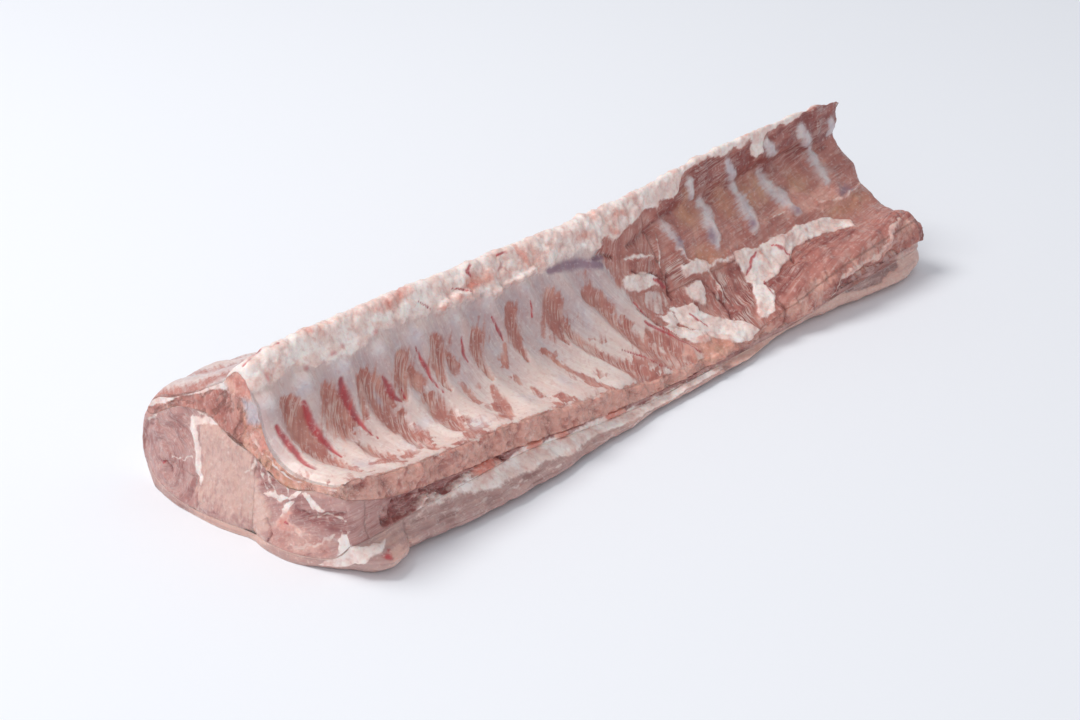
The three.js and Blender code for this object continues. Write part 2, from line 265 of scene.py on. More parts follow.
def guide(y, z):
    return np.stack(np.broadcast_arrays(y, z, places)[:2], -1)


def cap_bed():
    """Where the lean lies in the fat, from the near seam under the loin to the far lip."""
    seam, far_side = rails[:, SEAM], rails[:, FAR_SIDE]
    step = seam[:, 1] - FAT_THICKNESS
    return bed(
        [
            skin(np.array([0.0]))[:, 0, 1:],
            guide(seam[:, 0] + 14, FAT_THICKNESS + 0.3 * step),
            guide(-50, FAT_THICKNESS + 0.06 * step),
            guide(0, FAT_THICKNESS),
            guide(55, FAT_THICKNESS),
            guide(far_side[:, 0] - 8, 11),
            guide(far_side[:, 0] - 4, 22),
            skin(np.array([CAP_LIP]))[:, 0, 1:],
        ]
    )


def slump(points):
    """The places of points after the soft lean and fat have sagged past the end cuts."""
    x, y, z = points[..., 0], points[..., 1], points[..., 2]

    def lobe(part):
        middle, half_width = SAG_ACROSS[part]
        return SAG[part] * np.maximum(0, 1 - ((y - middle) / half_width) ** 2)

    low = np.clip(1 - z / SAG_HEIGHT, 0, 1)
    near_blade = ramp(-x, CUT_END - SAG_REACH, CUT_END) ** 2
    near_sirloin = ramp(x, CUT_END - SAG_REACH, CUT_END) ** 2
    moved = points.copy()
    moved[..., 0] -= low * near_blade * np.maximum(lobe("eye"), lobe("flank"))
    moved[..., 0] += near_sirloin * (low * lobe("sirloin") + lobe("rim") * ramp(z, *RIM_HEIGHT))
    moved[..., 0] += np.where(np.abs(x) > ON_CUT, 0.7 * noise(points * [0, 1, 1], 14, seed=9), 0)
    return moved


def zip_loops(outer, inner, points):
    """Triangles between two closed loops of points that run the same way round."""
    faces, i, j = [], 0, 0
    while i < len(outer) or j < len(inner):
        a, b = outer[i % len(outer)], inner[j % len(inner)]
        next_a, next_b = outer[(i + 1) % len(outer)], inner[(j + 1) % len(inner)]
        step_outer = np.sum((points[next_a] - points[b]) ** 2)
        step_inner = np.sum((points[next_b] - points[a]) ** 2)
        if j >= len(inner) or (i < len(outer) and step_outer < step_inner):
            faces.append((a, next_a, b))
            i += 1
        else:
            faces.append((a, next_b, b))
            j += 1
    return faces


def halved(a, b, c, d):
    """Each four-cornered face as two triangles."""
    return [np.stack(corners, -1).reshape(-1, 3) for corners in ((a, b, c), (a, c, d))]


def shut_end(ring, points, grid):
    """Closes one end of a layer: a grid over the cut, zipped to the ring of points round it."""
    rows, columns = grid.shape[:2]
    ids = len(points) + np.arange(rows * columns).reshape(rows, columns)
    points = np.concatenate([points, grid.reshape(-1, 3)])
    rim = np.concatenate([ids[0], ids[1:, -1], ids[-1, -2::-1], ids[-2:0:-1, 0]])
    start = np.argmin(np.sum((points[ring] - points[rim[0]]) ** 2, -1))
    faces = zip_loops(np.roll(ring, -start), rim, points)
    squares = halved(ids[:-1, :-1], ids[:-1, 1:], ids[1:, 1:], ids[1:, :-1])
    faces = np.concatenate([np.array(faces), *squares])
    p, q, r = (points[faces[:, k], 1:] for k in range(3))
    turned = np.cross(q - p, r - p) * np.sign(points[ring[0], 0]) < 0
    faces[turned] = faces[turned][:, ::-1]
    return points, faces


def layer(outlines, grids):
    """One closed layer through the outlines of every section, with a grid over each end cut."""
    stations, count = outlines.shape[:2]
    ids = np.arange(stations * count).reshape(stations, count)
    points = outlines.reshape(-1, 3)
    faces = halved(ids[:-1], ids[1:], np.roll(ids[1:], -1, 1), np.roll(ids[:-1], -1, 1))
    for ring, grid in zip((ids[0], ids[-1]), grids):
        points, more = shut_end(ring, points, grid)
        faces.append(more)
    return points, np.concatenate(faces)


def band_grid(outer, under, rows):
    """A grid over the cut end of a band, between its outside and the nearest places of its bed."""
    fine = np.linspace(0, len(under) - 1, 8 * len(under))
    bed_line = np.stack([np.interp(fine, np.arange(len(under)), under[:, k]) for k in range(3)], -1)
    apart = np.sum((outer[:, None] - bed_line[None]) ** 2, -1)
    nearest = bed_line[np.maximum.accumulate(np.argmin(apart, 1))]
    share = ((np.arange(rows) + 0.5) / rows)[:, None, None]
    return mix(outer[None], nearest[None], share)


def make_piece(name, points, faces, masks, runs):
    """A mesh object, in metres, with each mask, and the lie of its fibres, on its points."""
    mesh = bpy.data.meshes.new(name)
    mesh.from_pydata((slump(points) * MM).tolist(), [], faces.tolist())
    mesh.shade_smooth()
    for mask, value in masks.items():
        layer_of = mesh.attributes.new(mask, "FLOAT", "POINT")
        layer_of.data.foreach_set("value", np.clip(value, 0, 1).astype(np.float32))
    for run, lie in runs.items():
        layer_of = mesh.attributes.new(run, "FLOAT_VECTOR", "POINT")
        layer_of.data.foreach_set("vector", lie.astype(np.float32).ravel())
    made = bpy.data.objects.new(name, mesh)
    bpy.context.scene.collection.objects.link(made)
    return made


def wobbled(flat, s, seed, share=1.0):
    """x and the way round s, pushed about so that what is drawn on them has an uneven outline."""

    def push(draw):
        return share * (2.0 * noise(flat, 11, draw, 2) + 0.8 * noise(flat, 3.2, draw + 2, 2))

    return flat[..., 0] + push(seed), s + push(seed + 4)


def off_line(x, s, start, end):
    """How far along a line the nearest place to (x, s) is, from 0 to 1, and how far off it."""
    (xa, sa), (xb, sb) = start, end
    long_x, long_s = xb - xa, sb - sa
    t = np.clip(((x - xa) * long_x + (s - sa) * long_s) / (long_x**2 + long_s**2), 0, 1)
    return t, np.hypot(x - mix(xa, xb, t), s - mix(sa, sb, t))


def region(x, s, outline, soft):
    """0.5 on a closed outline, rising to 1 inside and falling to 0 outside over soft millimetres."""
    nearest, inside = np.full(x.shape, 1e9), np.zeros(x.shape, bool)
    for (xa, sa), (xb, sb) in zip(outline, outline[1:] + outline[:1]):
        nearest = np.minimum(nearest, off_line(x, s, (xa, sa), (xb, sb))[1])
        crossed = (sa > s) != (sb > s)
        inside ^= crossed & (x < xa + (s - sa) * (xb - xa) / (sb - sa + 1e-9))
    return 0.5 + np.where(inside, 0.5, -0.5) * np.clip(nearest / soft, 0, 1)


def patch(x, s, outline, soft=3.0):
    """A region drawn on the outside through places (x, v)."""
    return region(x, s, [(at, float(round_mm(v))) for at, v in outline], soft)


def lines_at(x, s, lines):
    """0.5 on the edges of lines drawn through (x, s, half width) in millimetres."""
    best = np.zeros(x.shape)
    for line in lines:
        for (xa, sa, wa), (xb, sb, wb) in zip(line, line[1:]):
            t, off = off_line(x, s, (xa, sa), (xb, sb))
            best = np.maximum(best, 1 - 0.5 * off / mix(wa, wb, t))
    return best


def stroke(x, s, lines):
    """0.5 on the edges of lines drawn on the outside through (x, v, half width)."""
    flat_lines = [[(at, float(round_mm(v)), half) for at, v, half in line] for line in lines]
    return lines_at(x, s, flat_lines)


def spot(x, s, rows):
    """0.5 on the edges of ovals on the outside: x, v, and the two half widths in millimetres."""
    best = np.zeros(x.shape)
    for at, v, half_x, half_s in rows:
        best = np.maximum(best, 1 - 0.5 * np.hypot((x - at) / half_x, (s - round_mm(v)) / half_s))
    return best


def above_half(mask, width=0.12):
    """A mask made firmer: 0 well under one half and 1 well over it."""
    return ramp(mask, 0.5 - width, 0.5 + width)


def whole_masks(points, outline_columns, outside, ends):
    """Each mask on every point of a layer: on its outside, 0 on its bed, and on its end cuts."""
    masks = {}
    on_cut = np.arange(len(points)) >= STATIONS * outline_columns
    for name in set(outside) | set(ends):
        grid = np.zeros((STATIONS, outline_columns))
        value = outside.get(name, np.zeros((STATIONS, 1)))
        grid[:, : value.shape[1]] = value
        full = np.concatenate([grid.ravel(), np.zeros(len(points) - grid.size)])
        masks[name] = np.where(on_cut, ends.get(name, 0), full)
    return masks


def tint(red, green, blue):
    """A colour given as it looks on screen, from 0 to 255, as the linear colour of a socket."""
    seen = np.array([red, green, blue]) / 255
    linear = np.where(seen > 0.04045, ((seen + 0.055) / 1.055) ** 2.4, seen / 12.92)
    return (*(float(part) for part in linear), 1.0)


def put(tree, kind, sockets=None, **settings):
    """One shader node. A socket gets a value, or the output that feeds it."""
    made = tree.nodes.new("ShaderNode" + kind)
    for name, value in settings.items():
        setattr(made, name, value)
    for name, value in (sockets or {}).items():
        if isinstance(value, bpy.types.NodeSocket):
            tree.links.new(value, made.inputs[name])
        else:
            made.inputs[name].default_value = value
    return made


def maths(tree, operation, *values):
    return put(tree, "Math", dict(enumerate(values)), operation=operation).outputs[0]


def stepped(tree, value, low, high):
    """0 where value is under low and 1 over high, with a smooth step between."""
    ends = {"Value": value, "From Min": low, "From Max": high}
    return put(tree, "MapRange", ends, interpolation_type="SMOOTHSTEP").outputs["Result"]


def laid_over(tree, share, under, over):
    return put(tree, "Mix", {0: share, 6: under, 7: over}, data_type="RGBA").outputs[2]


def named(tree, mask, output="Fac"):
    return put(tree, "Attribute", attribute_name=mask).outputs[output]


def spots(tree, scale, detail=3.0, vector=None, kind="TexNoise"):
    """A texture on the piece's own coordinates, with scale patches to the metre."""
    sockets = {"Vector": vector or put(tree, "TexCoord").outputs["Object"], "Scale": scale}
    if kind == "TexNoise":
        sockets["Detail"] = detail
    return put(tree, kind, sockets)


def node_group(name, inputs, outputs):
    """An empty shader node group, with its input and output nodes."""
    tree = bpy.data.node_groups.new(name, "ShaderNodeTree")
    for socket, value in inputs.items():
        kind = "NodeSocketVector" if value is None else "NodeSocketFloat"
        made = tree.interface.new_socket(socket, in_out="INPUT", socket_type=kind)
        if value is not None:
            made.default_value = value
    for socket in outputs:
        tree.interface.new_socket(socket, in_out="OUTPUT", socket_type="NodeSocketFloat")
    return tree, tree.nodes.new("NodeGroupInput").outputs, tree.nodes.new("NodeGroupOutput").inputs


def place_group(tree, group, sockets):
    made = tree.nodes.new("ShaderNodeGroup")
    made.node_tree = group
    for name, value in sockets.items():
        if isinstance(value, bpy.types.NodeSocket):
            tree.links.new(value, made.inputs[name])
        else:
            made.inputs[name].default_value = value
    return made.outputs


def ragged_edge():
    """Turns a soft mask into one with a torn, uneven border where it passes one half."""
    start = {"Mask": 0.0, "Strands": 0.5, "Scale": 400.0}
    start |= {"Raggedness": 0.3, "Streaks": 0.0, "Softness": 0.1}
    tree, given, out = node_group("Ragged edge", start, ["Mask"])
    torn = maths(tree, "SUBTRACT", spots(tree, given["Scale"], 5.0).outputs["Fac"], 0.5)
    streaked = maths(tree, "SUBTRACT", given["Strands"], 0.5)
    streaked = maths(tree, "MULTIPLY", streaked, given["Streaks"])
    push = maths(tree, "MULTIPLY_ADD", torn, given["Raggedness"], streaked)
    moved = maths(tree, "MULTIPLY_ADD", push, stepped(tree, given["Mask"], 0.02, 0.3), given["Mask"])
    low = maths(tree, "SUBTRACT", 0.5, given["Softness"])
    tree.links.new(stepped(tree, moved, low, maths(tree, "ADD", 0.5, given["Softness"])), out["Mask"])
    return tree


def meat_grain():
    """Muscle fibres along the grain: bundles darker and paler, with thin pale threads between."""
    tree, given, out = node_group(
        "Meat grain", {"Grain": None, "Width": 1.0}, ["Tone", "Threads", "Strands", "Height"]
    )
    narrow = maths(tree, "DIVIDE", 1.0, given["Width"])
    squeezed = put(tree, "CombineXYZ", {"X": narrow, "Y": maths(tree, "MULTIPLY", narrow, 0.08)})
    vector = put(tree, "VectorMath", {0: given["Grain"], 1: squeezed.outputs[0]}, operation="MULTIPLY")
    bundles = spots(tree, 0.4, 4.0, vector.outputs[0]).outputs["Fac"]
    strands = spots(tree, 0.8, 2.0, vector.outputs[0]).outputs["Fac"]
    middle = maths(tree, "ABSOLUTE", maths(tree, "SUBTRACT", strands, 0.5))
    threads = stepped(tree, maths(tree, "SUBTRACT", 0.1, middle), 0.025, 0.085)
    here = stepped(tree, spots(tree, 70.0).outputs["Fac"], 0.38, 0.58)
    tree.links.new(stepped(tree, bundles, 0.3, 0.7), out["Tone"])
    tree.links.new(maths(tree, "MULTIPLY", threads, here), out["Threads"])
    tree.links.new(strands, out["Strands"])
    tree.links.new(maths(tree, "ADD", bundles, maths(tree, "MULTIPLY", strands, 0.6)), out["Height"])
    return tree


def fat_crumb():
    """Soft fat: small rounded crumbs with creases between them, paler and pinker in patches."""
    tree, given, out = node_group("Fat crumb", {"Scale": 220.0}, ["Tone", "Crease", "Height"])
    shift = spots(tree, 260.0).outputs["Color"]
    bent = put(tree, "VectorMath", {0: shift, 1: (0.005,) * 3}, operation="MULTIPLY")
    place = put(tree, "VectorMath", {0: put(tree, "TexCoord").outputs["Object"], 1: bent.outputs[0]})
    crumbs = spots(tree, given["Scale"], vector=place.outputs[0], kind="TexVoronoi").outputs["Distance"]
    patches = spots(tree, maths(tree, "MULTIPLY", given["Scale"], 0.4), 5.0).outputs["Fac"]
    tree.links.new(stepped(tree, patches, 0.36, 0.64), out["Tone"])
    creased = maths(tree, "MULTIPLY", stepped(tree, crumbs, 0.5, 0.9), stepped(tree, patches, 0.4, 0.6))
    tree.links.new(creased, out["Crease"])
    tree.links.new(maths(tree, "SUBTRACT", patches, maths(tree, "MULTIPLY", crumbs, 0.35)), out["Height"])
    return tree


def sawn_marrow():
    """Spongy bone as the saw leaves it: dark wet pits and pale flecks in a dull red mesh."""
    tree, given, out = node_group("Sawn marrow", {"Scale": 900.0}, ["Pits", "Flecks", "Height"])
    specks = spots(tree, given["Scale"], 3.0).outputs["Fac"]
    patches = spots(tree, maths(tree, "MULTIPLY", given["Scale"], 0.12), 4.0).outputs["Fac"]
    leaning = maths(tree, "MULTIPLY_ADD", maths(tree, "SUBTRACT", patches, 0.5), 0.5, specks)
    tree.links.new(stepped(tree, leaning, 0.5, 0.62), out["Pits"])
    tree.links.new(stepped(tree, maths(tree, "SUBTRACT", 1.0, leaning), 0.54, 0.66), out["Flecks"])
    tree.links.new(maths(tree, "SUBTRACT", 1.0, leaning), out["Height"])
    return tree


def wet_skin():
    """Where the surface is wetter: a lower roughness and more of a watery coat in patches."""
    tree, given, out = node_group("Wet skin", {"Roughness": 0.42, "Wetness": 0.3}, ["Roughness", "Coat"])
    damp = spots(tree, 130.0, 4.0).outputs["Fac"]
    drier = maths(tree, "ADD", given["Roughness"], 0.1)
    tree.links.new(maths(tree, "MULTIPLY_ADD", damp, -0.2, drier), out["Roughness"])
    tree.links.new(maths(tree, "MULTIPLY", stepped(tree, damp, 0.35, 0.65), given["Wetness"]), out["Coat"])
    return tree


RAGGED_EDGE, MEAT_GRAIN, FAT_CRUMB = ragged_edge(), meat_grain(), fat_crumb()
SAWN_MARROW, WET_SKIN = sawn_marrow(), wet_skin()
# Each thing that covers the meat, in the order it lies: its two colours, and for its border the
# patches to the metre, the raggedness, the streakiness along the fibres and the softness.
COVERS = {
    "stain": (tint(216, 168, 134), tint(208, 146, 116), 160.0, 0.5, 0.0, 0.45),
    # The film's second, greyer colour is partly its own tone and partly painted shade, up the hollow under
    # the ridge and between the ribs.
    "film": (tint(236, 219, 210), tint(198, 183, 186), 500.0, 0.3, 0.9, 0.2),
    "marrow": (tint(206, 150, 138), tint(188, 142, 134), 420.0, 0.4, 0.0, 0.24),
    "fat": (tint(250, 238, 232), tint(238, 212, 203), 420.0, 0.3, 0.12, 0.14),
    "peach": (tint(238, 184, 167), tint(220, 146, 131), 420.0, 0.5, 0.0, 0.28),
    "bone": (tint(226, 217, 216), tint(200, 192, 200), 260.0, 0.4, 0.2, 0.4),
    "vein": (tint(154, 122, 138), tint(132, 100, 120), 240.0, 0.35, 0.0, 0.34),
    "blood": (tint(204, 66, 72), tint(158, 52, 62), 600.0, 0.15, 0.1, 0.34),
}
MOST_COVER = {"film": 0.9, "stain": 0.6, "vein": 0.85, "bone": 0.85, "blood": 0.88}
THREADS = tint(228, 204, 194)
FILM_PINK, FILM_WHITE = tint(214, 170, 160), tint(242, 234, 228)
CREASE = tint(206, 118, 104)
PIT, FLECK = tint(130, 88, 86), tint(230, 206, 196)
# Small uneven touches over everything: patches to the metre, where they start, their share and tint.
# The first touches are the meat's own darker, pinker mottling; the second, near white, are painted
# highlights.
MOTTLES_AND_GLINTS = ((330.0, 0.5, 0.2, tint(186, 116, 110)), (420.0, 0.53, 0.22, tint(248, 238, 232)))


def flesh(name, pale, middle, deep, fibre=1.0, run="grain"):
    """Wet raw meat in three tones, with fibres fibre mm wide, under its covers' masks."""
    made = bpy.data.materials.new(name)
    made.use_nodes = True
    tree = made.node_tree
    shader = tree.nodes["Principled BSDF"]
    grain = place_group(tree, MEAT_GRAIN, {"Grain": named(tree, "grain", "Vector"), "Width": fibre})
    skin_run = place_group(tree, MEAT_GRAIN, {"Grain": named(tree, run, "Vector"), "Width": 2.6})
    crumb = place_group(tree, FAT_CRUMB, {"Scale": 230.0})
    marrow = place_group(tree, SAWN_MARROW, {"Scale": 900.0})
    wet = place_group(tree, WET_SKIN, {"Roughness": 0.42, "Wetness": 0.35})
    blotches = stepped(tree, spots(tree, 60.0, 4.0).outputs["Fac"], 0.35, 0.65)
    depth = named(tree, "deep")
    for unevenness, most in ((grain["Tone"], 0.34), (blotches, 0.22)):
        swing = maths(tree, "SUBTRACT", unevenness, 0.5)
        depth = maths(tree, "MULTIPLY_ADD", swing, most, depth)
    shown = laid_over(tree, stepped(tree, depth, 0.0, 0.5), pale, middle)
    shown = laid_over(tree, stepped(tree, depth, 0.5, 1.0), shown, deep)
    threads = maths(tree, "MULTIPLY_ADD", named(tree, "thready"), 0.5, 0.22)
    shown = laid_over(tree, maths(tree, "MULTIPLY", grain["Threads"], threads), shown, THREADS)
    height = maths(tree, "MULTIPLY", grain["Height"], 0.5)
    second = dict.fromkeys(COVERS, blotches)  # where each cover has its second colour
    # The film's greyer second colour stands partly for painted shade in the rack's hollow.
    second |= {"film": named(tree, "cool"), "blood": grain["Tone"]}
    second |= {"fat": crumb["Tone"], "peach": crumb["Tone"]}
    details = {
        "film": ((skin_run["Tone"], 0.34, FILM_PINK), (skin_run["Threads"], 0.26, FILM_WHITE)),
        "fat": ((crumb["Crease"], 0.28, CREASE),),
        "peach": ((crumb["Crease"], 0.6, CREASE),),
        "marrow": ((marrow["Pits"], 0.6, PIT), (marrow["Flecks"], 0.6, FLECK)),
    }
    relief = {
        "film": maths(tree, "MULTIPLY", skin_run["Height"], 0.35),
        "fat": maths(tree, "MULTIPLY", crumb["Height"], 0.9),
        "peach": maths(tree, "MULTIPLY", crumb["Height"], 1.3),
        "marrow": maths(tree, "MULTIPLY", marrow["Height"], 1.5),
    }
    for cover, (main, other, scale, raggedness, streaks, softness) in COVERS.items():
        edge = {"Mask": named(tree, cover), "Strands": grain["Strands"], "Scale": scale}
        edge |= {"Raggedness": raggedness, "Streaks": streaks, "Softness": softness}
        share = place_group(tree, RAGGED_EDGE, edge)["Mask"]
        share = maths(tree, "MULTIPLY", share, MOST_COVER.get(cover, 1.0))
        colour = laid_over(tree, second[cover], main, other)
        for marks, most, detail in details.get(cover, ()):
            colour = laid_over(tree, maths(tree, "MULTIPLY", marks, most), colour, detail)
        shown = laid_over(tree, share, shown, colour)
        if cover in relief:
            height = put(tree, "Mix", {0: share, 2: height, 3: relief[cover]}).outputs[0]
    # Darker mottling, and small painted highlights, over everything.
    for scale, start, most, touch in MOTTLES_AND_GLINTS:
        here = stepped(tree, spots(tree, scale, 5.0).outputs["Fac"], start, start + 0.18)
        shown = laid_over(tree, maths(tree, "MULTIPLY", here, most), shown, touch)
    bump = put(tree, "Bump", {"Height": height, "Strength": 0.85, "Distance": 0.0015})
    tree.links.new(shown, shader.inputs["Base Color"])
    tree.links.new(wet["Roughness"], shader.inputs["Roughness"])
    tree.links.new(wet["Coat"], shader.inputs["Coat Weight"])
    tree.links.new(bump.outputs["Normal"], shader.inputs["Normal"])
    constants = {
        "Subsurface Weight": 0.25,
        "Subsurface Radius": (1.0, 0.38, 0.26),
        "Subsurface Scale": 0.003,
        "Coat Roughness": 0.2,
        "Specular IOR Level": 0.45,
    }
    for socket, value in constants.items():
        shader.inputs[socket].default_value = value
    return made


# Where the white wedge of the fat shows on the near side, through (x, v). The seam is v 0.
WHITE_WEDGE = [
    (-228, 0.1), (-200, 0.2), (-160, 0.2), (-120, 0.4), (-75, 0.6), (-28, 0.3), (30, 0.3), (62, 0.1),
    (58, -0.5), (20, -0.75), (-34, -0.72), (-73, -0.5), (-100, -0.58), (-134, -0.48), (-170, -0.46),
    (-194, -0.3), (-209, -0.2), (-236, -0.08),
]
# The dark muscle laid bare under the lump at the loin end, and the pale torn rim over it.
DARK_LENS = [
    (172, 0.9), (182, 1.3), (192, 1.5), (212, 1.45), (233, 1.25), (247, 1.45), (255, 1.4),
    (259, 0.6), (256, -0.3), (233, -0.52), (212, -0.5), (188, -0.1),
]
PALE_RIM = [
    (271, 2.3, 1.2), (251, 1.95, 1.6), (244, 1.7, 1.4), (227, 1.56, 1.7), (201, 1.64, 1.7),
    (186, 1.52, 1.6), (178, 1.1, 1.3), (174, 0.2, 1.2),
]
CAP_LINES = [
    [(-232, -0.35, 0.7), (-180, -0.62, 0.9), (-120, -0.72, 0.8)],
    [(-90, -0.8, 0.6), (20, -0.95, 0.9)],
]
WHITE_FLAP = [
    (-87, 24), (-92, 28), (-97, 29), (-103, 25), (-111, 25), (-130, 36), (-130, -4), (-74, -4),
    (-66, 0), (-74, 3), (-82, 10), (-86, 18),
]
FLAP_ROUND = [  # where the flap goes on round the corner, on the near side
    (-294, 0.42), (-288, 0.22), (-284, -0.02), (-277, -0.2), (-266, -0.22), (-272, -0.36), (-277, -0.5),
    (-283, -0.62), (-286, -0.95), (-294, -1.5),
]

CAP_FAR = np.linspace(CAP_LIP, FAR_FOOT, 26)
CAP_UNDER = np.linspace(FAR_FOOT, NEAR_FOOT, 32)[1:]
CAP_NEAR = np.linspace(NEAR_FOOT, RING, 44)[1:]
cap_round = np.concatenate([CAP_FAR, CAP_UNDER, CAP_NEAR])
cap_flat = skin(cap_round)
cap_x, cap_s = wobbled(cap_flat, round_mm(cap_round - RING)[None, :], 11)
roll = stroke(cap_x, cap_s, [[(-262, -2.2, 14), (-262, -0.1, 12)]])
crease = stroke(cap_x, cap_s, [[(-251, -1.9, 3), (-250, -0.8, 3.5), (-245, 0, 3)]])
wedge, lens = patch(cap_x, cap_s, WHITE_WEDGE, 4), patch(cap_x, cap_s, DARK_LENS, 3)
flap_round = patch(cap_x, cap_s, FLAP_ROUND, 2)
near_side = ramp(cap_round[None, :], NEAR_FOOT - 0.6, NEAR_FOOT)
cap_loin = ramp(cap_x, 40, 90) * near_side
cap_rim = ramp(cap_round, CAP_LIP, CAP_LIP + 0.15) * (1 - ramp(cap_round, RING - 0.15, RING))
cap_own = (
    1.2 * noise(cap_flat, 24, seed=21)
    + 0.3 * noise(cap_flat, 6, seed=23)
    + 0.9 * above_half(wedge, 0.3) * (0.7 + 0.6 * noise(cap_flat, 9, seed=25))
    + 1.2 * above_half(flap_round, 0.3)
    - 3.2 * np.clip(crease, 0, 1) ** 3
    - 1.5 * above_half(lens, 0.4)
)
cap_skin = skin(cap_round, cap_own * cap_rim * (0.25 + 0.75 * near_side))
cap_inner = cap_bed()
cap_outline = np.concatenate([cap_skin, cap_inner], 1)
cap_grids = [band_grid(cap_skin[k, 1:-1], cap_inner[k, ::-1], 4) for k in (0, -1)]
cap_points, cap_faces = layer(cap_outline, cap_grids)

cap_outside = {
    "deep": 0.6 - 0.4 * cap_loin - 0.5 * np.clip(roll, 0, 1) + 0.14 * noise(cap_flat, 12, seed=31)
    - 0.25 * ramp(cap_x, -110, -60) * near_side + 0.9 * above_half(lens),
    "film": 0.5 * (1 - near_side) + 0.6 * stroke(cap_x, cap_s, CAP_LINES),
    "cool": 0.4 + 0.3 * noise(cap_flat, 30, seed=33),
    "fat": np.maximum.reduce([
        wedge * near_side, flap_round, 0.62 * (1 - near_side) + 0.2 * noise(cap_flat, 18, seed=35),
    ]),
    "peach": near_side * (0.2 + 0.14 * np.clip(roll, 0, 1) + 0.12 * noise(cap_flat, 9, seed=37)),
    "blood": spot(cap_x, cap_s, [(-274, -0.66, 2.4, 2.6), (-270, -0.5, 1.6, 1.4)]),
}
cut_y, cut_z = cap_points[:, 1], cap_points[:, 2]
at_blade = cap_points[:, 0] < 0
cap_ends = {
    "deep": np.where(at_blade, 0.12 + 0.5 * ramp(cut_y, 22, 32) + 0.34 * ramp(-cut_y, 26, 40), 0.35),
    "fat": np.where(at_blade, region(cut_y, cut_z, WHITE_FLAP, 2.0), 0.8),
    "peach": np.full(len(cap_points), 0.3),
}
back_fat = make_piece(
    "back_fat",
    cap_points,
    cap_faces,
    whole_masks(cap_points, cap_outline.shape[1], cap_outside, cap_ends),
    {"grain": np.stack([cap_points[:, 2] * 1.5, cap_points[:, 0], cap_points[:, 1]], -1)},
)
back_fat.data.materials.append(
    flesh("greyish_fat_skin", tint(222, 182, 169), tint(188, 152, 146), tint(150, 113, 109), 1.2)
)
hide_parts("fat_cap")
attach(back_fat, "root")


# The lean. The long back muscle, pale at the blade cut with a darker group of muscles beside it
# and white seams of fat between them. It fills the space between the fat and the rack of bones,
# and shows on the near side as a thin red strip, slit open near the blade end.
def spread(start, end, spacing):
    """Places round the section from start to end, about spacing millimetres apart."""
    ends = round_mm(np.array([start, end], float))
    count = int(np.ceil((ends[1] - ends[0]) / spacing)) + 1
    return np.interp(np.linspace(*ends, count), path_length, path_v)


def rack_bed():
    """Where the rack lies on the lean, from the sawn edge under the chine and down the far side."""
    line = dict(zip(LINES, rails.swapaxes(0, 1)))
    high = {name: places_of[:, 1] for name, places_of in line.items()}
    return bed(
        [
            skin(np.array([1.0]))[:, 0, 1:],
            guide(-72, high["shelf"] - 9),
            guide(-48, high["trough"] - 13),
            guide(-22, high["gutter"] - 15),
            guide(2, high["ridge_out"] - 34),
            guide(22, high["ridge_out"] - 27),
            guide(line["back_mid"][:, 0] + 3, high["back_mid"] - 12),
            guide(line["back_edge"][:, 0] - 3, high["back_edge"] - 10),
            skin(np.array([RACK_TOE]))[:, 0, 1:],
        ]
    )


def resampled(line, count):
    """A line of points again, with count points evenly along it."""
    along = np.append(0, np.cumsum(np.linalg.norm(np.diff(line, axis=0), axis=1)))
    even = np.linspace(0, along[-1], count)
    return np.stack([np.interp(even, along, line[:, k]) for k in range(3)], -1)


def cut_grid(top, bottom, near, far, rows, columns):
    """A grid over a four-sided cut, blended from its sides, from its top row down, without its rim."""
    top, bottom = resampled(top, columns + 2), resampled(bottom, columns + 2)
    near, far = resampled(near, rows + 2), resampled(far, rows + 2)
    u = np.linspace(0, 1, columns + 2)[None, :, None]
    w = np.linspace(0, 1, rows + 2)[:, None, None]
    across = mix(near[:, None], far[:, None], u)
    corners = mix(mix(bottom[0], bottom[-1], u), mix(top[0], top[-1], u), w)
    return (mix(bottom[None], top[None], w) + across - corners)[-2:0:-1, 1:-1]


GROUP_HEART = (62, 24)  # (y, z) that the fibres of the darker group swirl round
GROUP_SQUASH = 1.3
GRAIN_OF_CUT = -276  # the cut's fibres go on round its rim to this x

# What the blade cut shows, through places (y, z), with half widths for its lines.
EYE = [
    (27, 58), (14, 63), (2, 65), (-8, 60), (-20, 48), (-24, 34), (-36, 24), (-38, 8), (-24, -2),
    (28, -2), (30, 10), (25, 20), (23, 36), (26, 48),
]
RED_FLANK = [
    (-53, 38), (-59, 44), (-74, 40), (-90, 44), (-96, 54), (-122, 64), (-130, 36), (-104, 28),
    (-89, 26), (-70, 27), (-60, 29),
]
PINK_POCKET = [(-34, 12), (-42, 21), (-60, 24), (-80, 22), (-84, 10), (-78, 0), (-40, 0)]
FAT_WEDGE = [
    (-45, 27), (-52, 34), (-58, 31), (-54, 25), (-62, 22), (-71, 22), (-62, 16), (-48, 14),
    (-40, 17),
]
EYE_SEAMS = [
    [(36, 58, 2.0), (34, 53, 3.6), (31, 46, 3.2), (28, 38, 2.6), (25, 30, 3.6), (23, 26, 2.2),
     (22, 22, 1.0)],
    [(34, 57, 2.4), (25, 61, 2.2), (16, 64, 1.6), (4, 66, 2.8), (-5, 65, 2.4), (-11, 60, 1.2)],
    [(-28, 33, 0.4), (-36, 36, 1.7), (-44, 36, 2.5), (-50, 38, 0.9)],
    [(-52, 38, 0.8), (-56, 43, 2.0), (-60, 47, 0.8)],
    [(-61, 44, 0.6), (-68, 41, 2.2), (-76, 38, 1.2)],
    [(-46, 27, 1.6), (-51, 33, 2.0), (-55, 37, 0.9)],
]
